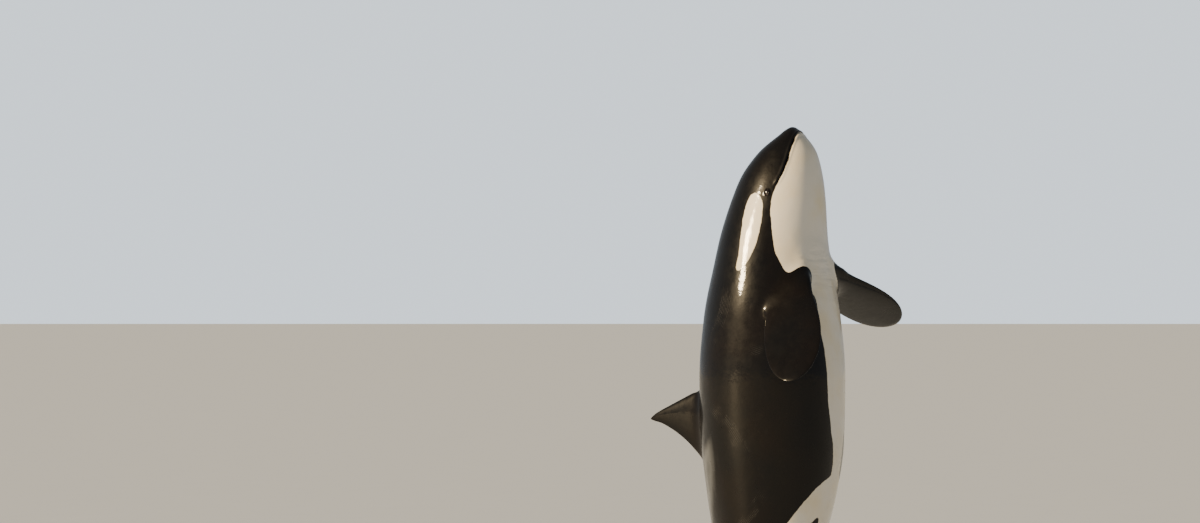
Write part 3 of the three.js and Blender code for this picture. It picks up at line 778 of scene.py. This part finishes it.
def rounded(points, steps=6):
    """Closed curve through points: cubics, sloped at each point as its neighbours' chord."""
    p = np.array(points, float)
    before, after, next_but = np.roll(p, 1, 0), np.roll(p, -1, 0), np.roll(p, -2, 0)
    t = np.linspace(0, 1, steps, endpoint=False)[None, :, None]
    p, before, after, next_but = (q[:, None] for q in (p, before, after, next_but))
    curve = 2 * p + (after - before) * t + (2 * before - 5 * p + 4 * after - next_but) * t ** 2
    curve = curve + (3 * p - before - 3 * after + next_but) * t ** 3
    return (curve / 2).reshape(-1, 2)


def mean_radius(place):
    """Mean of the section's four reaches, in metres."""
    back, belly, side = section_at(place)[:3]
    return (back + belly + 2 * side) / 4 * LENGTH


def chart(place, degrees):
    """Flat map of the flank in metres: along the body, and round it from the belly's middle."""
    return place * LENGTH, np.radians(degrees) * mean_radius(place)


def chart_outline(points):
    """Closed outline of a field on the flat map, rounded through its points."""
    curve = rounded(points)
    return np.stack(chart(curve[:, 0], curve[:, 1]), -1)


def paint_fields(mesh):
    """Writes the signed distance to the edges of the white and grey fields, and the folds' share.

    Positive is inside. The white of the belly joins the flank patch in a curve, stops where a
    fin leaves the body, and starts again on the flukes' underside.
    """
    points = read_rows(mesh.vertices, "co", 3)
    place, across, height = to_body(points)
    angle, _ = round_of(place, across, height)
    off, _ = off_skin(points)
    degrees = 90 + np.degrees(left_angle(angle, across >= 0))
    x, y = chart(place, degrees)
    lip_place = np.linspace(MOUTH_FRONT, MOUTH_CORNER, 40)
    lip = np.stack([lip_place, 90 + np.degrees(mouth_angle(lip_place)) - LIP_RIM], -1)
    band_place = np.linspace(WHITE_EDGE[0][0], WHITE_EDGE[-1][0], 240)
    band = np.stack([band_place, smooth_curve(WHITE_EDGE)(band_place)], -1)
    edge = np.concatenate([lip, band])
    belly = np.stack(chart(edge[:, 0], edge[:, 1]), -1)
    other_side = -2.0  # metres, past the belly's middle line
    belly = np.concatenate([belly, [[belly[-1, 0], other_side], [belly[0, 0], other_side]]])
    flank = field_distance(x, y, chart_outline(FLANK_PATCH))
    white = merged(field_distance(x, y, belly), flank, FLANK_JOIN)
    white = np.maximum(white, field_distance(x, y, chart_outline(EYE_PATCH)))
    fin = onset(off, *FIN_BLACK) * (place > HEAD_PLACE) * (place < FLUKE_WHITE)
    white = white * (1 - fin) - 0.06 * fin
    white = np.where(place > FLUKE_WHITE, fluke_under(mesh, place, across), white)
    saddle = field_distance(x, y, chart_outline(SADDLE)) - 0.10 * onset(off, *SADDLE_END)
    throat = onset(place, *FOLDS["from"]) * fade(place, *FOLDS["to"])
    throat = throat * fade(degrees, *FOLDS["around"]) * fade(off, *FOLDS["off"])
    write_fields(mesh, white=white, saddle=saddle, throat=throat)
    paint_rakes(mesh, x, np.where(across >= 0, y, -y), off)


def fluke_under(mesh, place, across):
    """White of the flukes' underside: inset from the edges, only on faces toward the belly."""
    normals = read_rows(mesh.vertices, "normal", 3)
    bend = bend_at(place)
    belly_side = -(normals[:, 1] * np.cos(bend) + normals[:, 2] * np.sin(bend))
    away = np.clip(np.abs(across) / FLUKE["span"], 0, 1)
    from_lead = place - smooth_curve(FLUKE_LEAD)(away) - UNDER_INSETS["lead"]
    from_trail = smooth_curve(FLUKE_TRAIL)(away) - UNDER_INSETS["trail"] - place
    from_stock = np.abs(across) - UNDER_INSETS["stock"] - 0.02 * np.clip(0.955 - place, 0, 1)
    from_tip = (0.93 - away) * 0.12
    inset = np.minimum(np.minimum(from_lead, from_trail), np.minimum(from_stock, from_tip))
    return np.where(belly_side > 0.15, inset, np.minimum(inset, -0.02)) * LENGTH


# Tooth rakes: metres along the body and round it, degrees of slant, half length, half width.
RAKES = [
    (1.55, 1.05, 35, 0.30, 0.05), (2.35, 1.30, -28, 0.42, 0.06), (2.75, -1.15, 40, 0.35, 0.05),
    (3.40, 1.45, 20, 0.50, 0.07), (3.70, -0.95, -35, 0.45, 0.05), (4.15, 0.85, 30, 0.38, 0.05),
    (1.75, -1.25, -30, 0.34, 0.05), (3.05, -1.55, 15, 0.40, 0.06), (4.55, -0.60, -25, 0.30, 0.04),
    (2.10, -0.75, 62, 0.26, 0.04), (3.20, 0.70, -52, 0.30, 0.04),
]
RAKE_END, RAKE_SIDE = 0.12, 0.02  # metres over which a rake fades at its ends and sides


def paint_rakes(mesh, x, y, off):
    """Old tooth rakes: each a band of parallel lines; across is metres off its middle line."""
    across = np.full(len(x), 1.0)
    strength = np.zeros(len(x))
    for cx, cy, degrees, half, wide in RAKES:
        c, s = np.cos(np.radians(degrees)), np.sin(np.radians(degrees))
        along = (x - cx) * c + (y - cy) * s
        over = -(x - cx) * s + (y - cy) * c + 0.35 * along ** 2
        here = fade(np.abs(along), half - RAKE_END, RAKE_END)
        here = here * fade(np.abs(over), wide, RAKE_SIDE) * (off < 0.02)
        across = np.where(here > strength, over, across)
        strength = np.maximum(strength, here)
    write_fields(mesh, rake_across=across, rake_strength=strength)


class Shader:
    """Short calls for wiring the nodes of one material."""

    def __init__(self, name):
        self.material = bpy.data.materials.new(name)
        self.material.use_nodes = True
        self.nodes = self.material.node_tree.nodes
        self.links = self.material.node_tree.links
        self.surface = self.nodes["Principled BSDF"]
        self.object = self.nodes.new("ShaderNodeTexCoord").outputs["Object"]

    def put(self, socket, value):
        """Links a socket, or sets it to a number or a colour."""
        if isinstance(value, bpy.types.NodeSocket):
            self.links.new(value, socket)
        elif isinstance(value, tuple) and len(value) == 3 and socket.type == "RGBA":
            socket.default_value = (*value, 1)
        else:
            socket.default_value = value

    def set(self, **values):
        """Sets or links sockets of the surface, by their names with underscores."""
        for key, value in values.items():
            self.put(self.surface.inputs[key.replace("_", " ")], value)

    def math(self, operation, a, b=0.0, c=0.0):
        """Result of one operation on up to three values."""
        node = self.nodes.new("ShaderNodeMath")
        node.operation = operation
        for socket, value in zip(node.inputs, (a, b, c)):
            self.put(socket, value)
        return node.outputs[0]

    def mix(self, share, a, b):
        """Colour a at share 0, colour b at share 1."""
        node = self.nodes.new("ShaderNodeMix")
        node.data_type = "RGBA"
        self.put(node.inputs[0], share)
        self.put(node.inputs[6], a)
        self.put(node.inputs[7], b)
        return node.outputs[2]

    def ramp(self, value, low, high, out_low=0.0, out_high=1.0):
        """Smooth step of a value from low to high, onto out_low to out_high."""
        node = self.nodes.new("ShaderNodeMapRange")
        node.interpolation_type = "SMOOTHSTEP"
        for socket, given in zip(node.inputs, (value, low, high, out_low, out_high)):
            self.put(socket, given)
        return node.outputs[0]

    def noise(self, scale, detail=3.0, rough=0.55, stretch=(1, 1, 1)):
        """Noise on the piece's own metres, drawn out along an axis by a small stretch."""
        mapping = self.nodes.new("ShaderNodeMapping")
        mapping.inputs["Scale"].default_value = stretch
        self.links.new(self.object, mapping.inputs["Vector"])
        node = self.nodes.new("ShaderNodeTexNoise")
        node.inputs["Scale"].default_value = scale
        node.inputs["Detail"].default_value = detail
        node.inputs["Roughness"].default_value = rough
        self.links.new(mapping.outputs[0], node.inputs["Vector"])
        return node.outputs[0]

    def attribute(self, name):
        """Value of one of the point attributes from write_fields."""
        node = self.nodes.new("ShaderNodeAttribute")
        node.attribute_name = name
        return node.outputs["Fac"]

    def bump(self, height, distance, strength=1.0, normal=None):
        """Normal bent by a height, on top of another normal."""
        node = self.nodes.new("ShaderNodeBump")
        node.inputs["Distance"].default_value = distance
        node.inputs["Strength"].default_value = strength
        self.links.new(height, node.inputs["Height"])
        if normal is not None:
            self.links.new(normal, node.inputs["Normal"])
        return node.outputs[0]


WATER_IOR = 1.33
RAKE_GAP = 0.0085


def wet_skin(look):
    """Wet orca skin: black back, white and grey fields with slightly uneven edges, fine marks."""
    s = Shader("wet_skin")
    wobble = s.math("MULTIPLY_ADD", s.noise(7, 4), 0.030, -0.015)
    fray = s.math("MULTIPLY_ADD", s.noise(95, 3), 0.007, -0.0035)
    edge = s.math("ADD", s.attribute("white"), s.math("ADD", wobble, fray))
    white = s.ramp(edge, -0.0035, 0.0035)
    black = s.mix(s.ramp(s.noise(1.7, 5), 0.35, 0.7), tuple(look.black), tuple(look.black_worn))
    black = s.mix(s.ramp(s.noise(26, 4, 0.7), 0.56, 0.78, 0, 0.35), black, (0.014, 0.011, 0.009))
    cream = s.mix(s.ramp(s.noise(2.3, 4), 0.35, 0.72), tuple(look.white), tuple(look.cream))
    cream = s.mix(s.ramp(s.noise(38, 5, 0.7), 0.60, 0.80, 0, 0.30), cream, (0.52, 0.47, 0.38))
    streaks = s.noise(9, 5, 0.6, stretch=(1, 1, 0.22))
    grey_edge = s.math("ADD", s.attribute("saddle"), s.math("MULTIPLY_ADD", streaks, 0.22, -0.11))
    grey = s.ramp(grey_edge, -0.045, 0.110)
    grey_tone = s.mix(s.ramp(streaks, 0.3, 0.7), tuple(look.grey), (0.050, 0.053, 0.058))
    dark = s.mix(grey, black, grey_tone)
    waver = s.math("MULTIPLY_ADD", s.noise(6), 0.008, -0.004)
    lines = s.math("PINGPONG", s.math("ADD", s.attribute("rake_across"), waver), RAKE_GAP)
    line = s.math("MULTIPLY", s.ramp(lines, 0.0011, 0.0002), s.attribute("rake_strength"))
    line = s.math("MULTIPLY", line, s.ramp(s.noise(5, 3), 0.40, 0.60))
    dark = s.mix(s.math("MULTIPLY", line, 0.55), dark, (0.16, 0.155, 0.15))
    pale = s.mix(s.math("MULTIPLY", line, 0.35), cream, (0.45, 0.40, 0.34))
    s.set(Base_Color=s.mix(white, dark, pale))
    rough = s.ramp(s.noise(11, 5, 0.65), 0.3, 0.75, 0.26, 0.42)
    s.set(Roughness=rough, Specular_IOR_Level=0.08)
    s.set(Coat_Weight=look.wetness, Coat_Roughness=0.07, Coat_IOR=WATER_IOR)
    folds = s.noise(17, 2, 0.45, stretch=(0.20, 0.20, 1))
    where = s.math("MULTIPLY", s.attribute("throat"), s.ramp(s.noise(2.1, 2), 0.42, 0.62))
    normal = s.bump(s.math("MULTIPLY", folds, where), 0.026, 0.55)
    normal = s.bump(s.noise(9, 3), 0.006, 0.30, normal)
    s.set(Coat_Normal=s.bump(s.noise(70, 2), 0.0010, 0.10, normal))
    normal = s.bump(s.noise(210, 3, 0.6), 0.0012, 0.16, normal)
    s.set(Normal=s.bump(line, 0.0015, 0.5, normal))
    return s.material


def eye_glass(look):
    """Dark eye: wide pupil, brown iris with fine spokes, dull red-brown rim, wet surface."""
    s = Shader("eye_wet")
    out = s.attribute("iris")
    spokes = s.noise(900, 2, 0.5)
    iris = s.mix(s.ramp(spokes, 0.35, 0.65), tuple(look.iris), (0.012, 0.007, 0.005))
    colour = s.mix(s.ramp(out, 0.30, 0.34), (0.002, 0.002, 0.002), iris)
    colour = s.mix(s.ramp(out, 0.62, 0.72), colour, (0.010, 0.006, 0.005))
    colour = s.mix(s.ramp(out, 0.80, 0.95), colour, (0.060, 0.026, 0.020))
    s.set(Base_Color=colour, Roughness=0.12, Coat_Weight=1.0, Coat_Roughness=0.02)
    return s.material


def plinth_paint(look):
    """Satin painted board: dark, faint roller texture, slight scuffs scattered all over."""
    s = Shader("plinth_paint")
    tone = s.mix(s.ramp(s.noise(1.5, 4), 0.3, 0.7), tuple(look.paint), (0.055, 0.058, 0.063))
    tone = s.mix(s.ramp(s.noise(60, 4, 0.75), 0.70, 0.84, 0, 0.3), tone, (0.11, 0.11, 0.115))
    s.set(Base_Color=tone, Roughness=s.ramp(s.noise(6, 3), 0.3, 0.7, 0.46, 0.54))
    s.set(Normal=s.bump(s.noise(420, 2), 0.0008, 0.3))
    return s.material


def brushed_steel(look):
    """Steel tube brushed round: noise drawn out level, so the lines ring the rod."""
    s = Shader("brushed_steel_rod")
    brush = s.noise(40, 3, 0.6, stretch=(0.6, 0.6, 26))
    tone = s.mix(brush, tuple(look.steel), (0.40, 0.41, 0.42))
    s.set(Base_Color=tone, Metallic=1.0, Roughness=s.ramp(brush, 0.3, 0.7, 0.24, 0.40))
    s.set(Normal=s.bump(brush, 0.0006, 0.35))
    return s.material


def cuff_rubber():
    """Matte black rubber with a fine grain."""
    s = Shader("cuff_rubber")
    tone = s.mix(s.noise(50, 3), (0.018, 0.018, 0.019), (0.030, 0.030, 0.031))
    s.set(Base_Color=tone, Roughness=0.62)
    s.set(Normal=s.bump(s.noise(500, 2), 0.0005, 0.4))
    return s.material


def pale_floor(look):
    """Matte pale floor with faint broad clouds of tone."""
    s = Shader("pale_floor")
    tone = s.mix(s.noise(0.6, 3), tuple(look.floor), (0.63, 0.67, 0.73))
    s.set(Base_Color=tone, Roughness=0.65)
    return s.material


def colour_property(name, text, value):
    """Colour that a user may change."""
    return bpy.props.FloatVectorProperty(name=name, description=text, size=3, subtype="COLOR",
                                         min=0, max=1, default=value)


def number_property(name, text, value, **limits):
    """Number that a user may change, with its unit, subtype or limits."""
    return bpy.props.FloatProperty(name=name, description=text, default=value, **limits)


class OrcaSkinLook(bpy.types.PropertyGroup):
    """Colours and wetness of the skin and eyes"""

    black: colour_property("Black", "Colour of the black skin", (0.0036, 0.0034, 0.0036))
    black_worn: colour_property("Worn black", "Black where old skin is browner",
                                (0.0060, 0.0044, 0.0034))
    white: colour_property("White", "Colour of the white fields", (0.80, 0.75, 0.655))
    cream: colour_property("Cream", "White where a film of algae tints it", (0.78, 0.685, 0.50))
    grey: colour_property("Grey", "Colour of the saddle behind the fin", (0.108, 0.114, 0.124))
    iris: colour_property("Iris", "Colour of the eye's iris", (0.030, 0.013, 0.008))
    wetness: number_property("Wetness", "Share of the skin under a film of water", 0.6,
                             min=0, max=1, subtype="FACTOR")


class OrcaStandLook(bpy.types.PropertyGroup):
    """Colours and details of the display stand"""

    paint: colour_property("Paint", "Colour of the base", (0.045, 0.048, 0.053))
    steel: colour_property("Steel", "Colour of the rods", (0.56, 0.57, 0.58))
    rim: number_property("Rim", "Radius of the base's rounded edges", 0.012, unit="LENGTH")
    bolts: bpy.props.IntProperty(name="Bolts", description="Bolts through each rod's foot",
                                 default=6, min=3)


class OrcaStage(bpy.types.PropertyGroup):
    """Floor, light and the camera's place"""

    floor: colour_property("Floor", "Colour of the studio floor", (0.66, 0.70, 0.76))
    distance: number_property("Distance", "From the camera to the animal", 60.0, unit="LENGTH")
    azimuth: number_property("Azimuth", "Camera's way round the animal", np.radians(-66),
                             subtype="ANGLE")
    key: number_property("Key light", "Strength of the warm low light", 7.8)
    key_turn: number_property("Key's turn", "Key light's way to the left of the camera",
                              np.radians(65), subtype="ANGLE")
    key_rise: number_property("Key's rise", "Key light's height over the floor", np.radians(22),
                              subtype="ANGLE")
    key_colour: colour_property("Key colour", "Colour of the key light", (1.0, 0.77, 0.46))
    fill: number_property("Fill light", "Strength of the light all round", 0.27)
    fill_colour: colour_property("Fill colour", "Colour of the surroundings", (0.83, 0.92, 1.0))


class OrcaSkin(bpy.types.Operator):
    """Body, fins, lids and lips as one skin, with its markings"""

    bl_idname = "orca.skin"
    bl_label = "Skin"

    def execute(self, context):
        skin = new_piece("orca_skin", *body_shell(), "skin", wet_skin(context.scene.orca_skin))
        join_to(skin, dorsal_shell(), "UNION")
        for pose in FLIPPER_POSES:
            join_to(skin, flipper_shell(pose), "UNION")
        join_to(skin, fluke_shell(), "UNION")
        soften_roots(skin.data)
        for side in (1, -1):
            join_to(skin, lid_shell(side), "UNION")
        path, normals, t = blowhole_path(61)
        rim, slit = (np.outer(size, taper(t)) for size in (BLOWHOLE["rim"], BLOWHOLE["slit"]))
        join_to(skin, roll_along(path, normals, *rim, 16), "UNION")
        soften_along(skin.data, path, BLOWHOLE["rim_reach"])
        join_to(skin, roll_along(path, normals, *slit), "DIFFERENCE")
        for start, end, away, wide in SLITS:
            path, normals, t = ventral_path(start, end, away)
            slit = np.outer((wide, SLIT_DEPTH), taper(t))
            join_to(skin, roll_along(path, normals, *slit), "DIFFERENCE")
        paint_fields(skin.data)
        shade(skin.data, True)
        flesh = ["head", "lower_jaw", "chest", "trunk", "loin", "tail_stock", "dorsal_fin",
                 "flipper_left", "flipper_right", "fluke_left", "fluke_right"]
        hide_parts(*flesh)
        return {"FINISHED"}


IRIS_ANGLE = np.radians(46)  # how far the coloured part reaches round the ball
GAZE = np.array([0, -0.10, 0.10])  # the eyes turn a little to the belly and up


class OrcaEyes(bpy.types.Operator):
    """Two eyeballs under their lids"""

    bl_idname = "orca.eyes"
    bl_label = "Eyes"

    def execute(self, context):
        glass = eye_glass(context.scene.orca_skin)
        for name, side in (("left", 1), ("right", -1)):
            centre, normal = eye_centre(side)
            gaze = normal + GAZE
            gaze /= np.linalg.norm(gaze)
            across = np.cross(gaze, [0, 0, 1.0])
            across /= np.linalg.norm(across)
            up = np.cross(across, gaze)
            tilt = np.linspace(0.03, np.pi - 0.03, 40)[:, None, None]
            spin = full_turn(48)[None, :, None]
            out = across * np.cos(spin) + up * np.sin(spin)
            rings = centre + EYE["radius"] * (gaze * np.cos(tilt) + out * np.sin(tilt))
            ball = new_piece(f"eye_ball_{name}", *skin_rings(rings), "eye", glass)
            points = read_rows(ball.data.vertices, "co", 3)
            off = np.arccos(np.clip((points - centre) @ gaze / EYE["radius"], -1, 1))
            write_fields(ball.data, iris=off / IRIS_ANGLE)
            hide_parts(f"eye_{name}")
        return {"FINISHED"}


def round_line(x, y, radius, height, sides):
    """Points round the upright line at x and y, at a radius and a height, for even angles."""
    spin = full_turn(sides)
    rings = (x + radius * np.cos(spin), y + radius * np.sin(spin), height)
    return np.stack(np.broadcast_arrays(*rings), -1)


def turned_shell(profile, x, y, sides):
    """Body of revolution about an upright line: profile of (radius, height) from axis to axis."""
    radius, height = np.array(profile, float).T[..., None]
    return skin_rings(round_line(x, y, radius, height, sides))


def rounded_profile(corners, steps=5):
    """Profile through (radius, height, rounding) corners: each one cut by a quarter arc."""
    profile = []
    for k, (r, z, size) in enumerate(corners):
        if size == 0:
            profile.append((r, z))
            continue
        here = np.array([r, z])
        before = np.array(corners[k - 1][:2]) - here
        after = np.array(corners[k + 1][:2]) - here
        before, after = (v / np.linalg.norm(v) * size for v in (before, after))
        for t in np.linspace(0, np.pi / 2, steps):
            profile.append(tuple(here + before * (1 - np.sin(t)) + after * (1 - np.cos(t))))
    return profile


# The stand, in metres: the base's step, a rod, its foot's plate, weld and bolt heads.
STEP_IN, STEP_HEIGHT = 0.006, 0.018
ROD_RADIUS = 0.062
PLATE_THICK = 0.025
WELD = (0.012, 0.014)
BOLT = {"radius": 0.011, "height": 0.008, "sunk": 0.004, "rounding": 0.002, "sides": 6}
# The cuff round a rod's top: radius and height over the belly of each corner of its wall, and
# the two heights between which the belly lies over it.
CUFF_SIDES = 72
CUFF_RADII = ROD_RADIUS + np.array([-0.003, 0.008, 0.010, 0.010, -0.003])
CUFF_HEIGHTS = np.array([-0.060, -0.060, -0.057, 0.012, 0.012])
BELLY_BETWEEN = (0.3, 1.6)
HALVINGS = 24


class OrcaStand(bpy.types.Operator):
    """Round base, two rods with bolted feet and rubber cuffs"""

    bl_idname = "orca.stand"
    bl_label = "Display stand"

    def execute(self, context):
        look = context.scene.orca_stand
        _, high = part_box("stand_base")
        radius, top = high[0], high[2]
        inner = radius - STEP_IN
        corners = [(0.02, 0, 0), (radius - 0.02, 0, 0), (inner, 0.006, 0),
                   (inner, STEP_HEIGHT, 0.003), (radius, STEP_HEIGHT, 0.003),
                   (radius, top, look.rim), (0.02, top, 0)]
        shell = turned_shell(rounded_profile(corners), 0, 0, 220)
        base = new_piece("stand_plinth", *shell, "stand_paint", plinth_paint(look))
        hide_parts("stand_base")
        steel, rubber = brushed_steel(look), cuff_rubber()
        for name in ("front", "back"):
            low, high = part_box(f"stand_rod_{name}")
            self.rod(name, (low[1] + high[1]) / 2, low[2], high[2], high[0], look, steel, rubber)
        return {"FINISHED"}

    def rod(self, name, y, foot, top, flange, look, steel, rubber):
        """Tube on a round foot with a weld fillet, bolt heads, and a cuff under the belly."""
        plate = foot + PLATE_THICK
        end = top - 0.004
        corners = [(0.01, foot, 0), (flange, foot, 0.003), (flange, plate, 0.005),
                   (ROD_RADIUS + WELD[0], plate, 0.002), (ROD_RADIUS, plate + WELD[1], 0.004),
                   (ROD_RADIUS, end, 0), (0.01, end, 0)]
        shell = turned_shell(rounded_profile(corners), 0, y, 96)
        tube = new_piece(f"stand_tube_{name}", *shell, "stand_steel", steel)
        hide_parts(f"stand_rod_{name}")
        self.bolts(name, y, plate, flange, look.bolts, steel)
        self.cuff(name, y, rubber)

    def bolts(self, name, y, plate, flange, count, steel):
        """Ring of six-sided bolt heads on the foot's plate, as one mesh."""
        reach = (ROD_RADIUS + flange) / 2 + 0.004
        low, high = plate - BOLT["sunk"], plate + BOLT["height"]
        head = rounded_profile([(0.001, low, 0), (BOLT["radius"], low, 0),
                                (BOLT["radius"], high, BOLT["rounding"]), (0.001, high, 0)], 3)
        points, faces = np.empty((0, 3)), []
        for k in range(count):
            spin = 2 * np.pi * (k + 0.5) / count
            middle = reach * np.cos(spin), y + reach * np.sin(spin)
            bolt, bolt_faces = turned_shell(head, *middle, BOLT["sides"])
            faces += [[len(points) + v for v in face] for face in bolt_faces]
            points = np.concatenate([points, bolt])
        bolts = new_piece(f"stand_bolts_{name}", points, faces, "stand_steel", steel)
        shade(bolts.data, False)

    def cuff(self, name, y, rubber):
        """Sleeve round the rod's top: each column ends just inside the belly over it.

        The belly's height over a column is found by halving the way between two heights.
        """
        low, high = (np.full(CUFF_SIDES, height) for height in BELLY_BETWEEN)
        for _ in range(HALVINGS):
            middle = (low + high) / 2
            off, _ = off_skin(round_line(0, y, CUFF_RADII.max(), middle, CUFF_SIDES))
            low, high = np.where(off > 0, middle, low), np.where(off > 0, high, middle)
        radii, over = CUFF_RADII[:, None], CUFF_HEIGHTS[:, None]
        rings = round_line(0, y, radii, low + over, CUFF_SIDES)
        new_piece(f"stand_cuff_{name}", *skin_rings(rings, closed=True), "stand_steel", rubber)


# The stage: floor, a sun as wide as 8 degrees, and the surroundings' brightness by height.
FLOOR_REACH = 3000.0
FLOOR_SIDES = 48
FLOOR_DROP = 0.001
KEY_WIDTH = np.radians(8)
WORLD_LEVELS = (0.0, 0.6, 1.7, 0.85)  # from height, to height, brightness at each
SEEN_BRIGHTNESS = 1.3
SENSOR_WIDTH = 36
FARTHEST = 5000


class OrcaStudio(bpy.types.Operator):
    """Pale floor, soft light and the camera at the photograph's place"""

    bl_idname = "orca.studio"
    bl_label = "Studio"

    def execute(self, context):
        look = context.scene.orca_stage
        self.floor(look)
        self.world(context, look)
        self.lights(look)
        self.camera(context, look)
        return {"FINISHED"}

    def floor(self, look):
        """Disc just under the base, wide enough to reach the horizon."""
        rim = round_line(0, 0, FLOOR_REACH, -FLOOR_DROP, FLOOR_SIDES)
        points = np.concatenate([[[0, 0, -FLOOR_DROP]], rim])
        faces = [(0, k + 1, (k + 1) % FLOOR_SIDES + 1) for k in range(FLOOR_SIDES)]
        floor = new_piece("studio_floor", points, faces, None, pale_floor(look))

    def world(self, context, look):
        """Even pale surroundings, a little brighter at the horizon, where they meet the floor."""
        world = bpy.data.worlds.new("studio")
        context.scene.world = world
        world.use_nodes = True
        nodes, links = world.node_tree.nodes, world.node_tree.links
        surround = nodes["Background"]
        place = nodes.new("ShaderNodeTexCoord")
        split = nodes.new("ShaderNodeSeparateXYZ")
        ramp = nodes.new("ShaderNodeMapRange")
        for socket, level in zip(ramp.inputs[1:5], WORLD_LEVELS):
            socket.default_value = level
        scale = nodes.new("ShaderNodeMath")
        scale.operation = "MULTIPLY"
        scale.inputs[1].default_value = look.fill
        seen = nodes.new("ShaderNodeLightPath")
        choose = nodes.new("ShaderNodeMix")
        choose.inputs[3].default_value = SEEN_BRIGHTNESS
        links.new(place.outputs["Generated"], split.inputs[0])
        links.new(split.outputs["Z"], ramp.inputs[0])
        links.new(ramp.outputs[0], scale.inputs[0])
        links.new(seen.outputs["Is Camera Ray"], choose.inputs[0])
        links.new(scale.outputs[0], choose.inputs[2])
        links.new(choose.outputs[0], surround.inputs["Strength"])
        surround.inputs["Color"].default_value = (*look.fill_colour, 1)

    def lights(self, look):
        """Warm low key from the camera's left and slightly in front."""
        sun = bpy.data.lights.new("key", "SUN")
        sun.energy = look.key
        sun.color = look.key_colour
        sun.angle = KEY_WIDTH
        lamp = bpy.data.objects.new("key", sun)
        way, rise = look.azimuth - look.key_turn, look.key_rise
        toward = np.array([np.sin(way) * np.cos(rise), -np.cos(way) * np.cos(rise), np.sin(rise)])
        lamp.rotation_mode = "QUATERNION"
        lamp.rotation_quaternion = Vector(toward).to_track_quat("Z", "Y")
        bpy.context.scene.collection.objects.link(lamp)

    def camera(self, context, look):
        """Level with the photograph's horizon; turned up a little to put it at its row."""
        view = bpy.data.cameras.new("camera")
        view.sensor_width = SENSOR_WIDTH
        view.lens = view.sensor_width * look.distance * PIXELS_PER_METRE / PHOTO_WIDTH
        view.clip_end = FARTHEST
        camera = bpy.data.objects.new("camera", view)
        a = look.azimuth
        back = np.array([np.sin(a), -np.cos(a), 0])
        right = np.array([np.cos(a), np.sin(a), 0])
        aside = (PHOTO_WIDTH / 2 - AXIS_COLUMN) / PIXELS_PER_METRE
        eye_level = SNOUT_HEIGHT - (HORIZON_ROW - SNOUT_ROW) / PIXELS_PER_METRE
        place = np.array([0, AXIS_BACK, eye_level]) + back * look.distance + right * aside
        raised = (HORIZON_ROW - PHOTO_HEIGHT / 2) / PIXELS_PER_METRE / look.distance
        camera.location = place
        camera.rotation_euler = (np.pi / 2 + np.arctan(raised), 0, a)
        context.scene.collection.objects.link(camera)
        context.scene.camera = camera


PIECES = (OrcaSkin, OrcaEyes, OrcaStand, OrcaStudio)


class OrcaPanel(bpy.types.Panel):
    """Lists the pieces of the orca in the sidebar"""

    bl_idname = "VIEW3D_PT_orca"
    bl_label = "Orca"
    bl_space_type = "VIEW_3D"
    bl_region_type = "UI"
    bl_category = "Orca"

    def draw(self, context):
        for operator in PIECES:
            self.layout.operator(operator.bl_idname)
        for group in (context.scene.orca_skin, context.scene.orca_stand, context.scene.orca_stage):
            box = self.layout.box()
            for key in group.__annotations__:
                box.prop(group, key)


GROUPS = {"orca_skin": OrcaSkinLook, "orca_stand": OrcaStandLook, "orca_stage": OrcaStage}


def register():
    """Registers the property groups, the operators and the panel."""
    for name, group in GROUPS.items():
        bpy.utils.register_class(group)
        setattr(bpy.types.Scene, name, bpy.props.PointerProperty(type=group))
    for part in (*PIECES, OrcaPanel):
        bpy.utils.register_class(part)


def unregister():
    """Undoes register, in the other order."""
    for part in (OrcaPanel, *PIECES):
        bpy.utils.unregister_class(part)
    for name, group in GROUPS.items():
        delattr(bpy.types.Scene, name)
        bpy.utils.unregister_class(group)


def main():
    """Builds every piece."""
    register()
    bpy.ops.orca.studio()
    bpy.ops.orca.skin()
    bpy.ops.orca.eyes()
    bpy.ops.orca.stand()


if __name__ == "__main__":
    main()
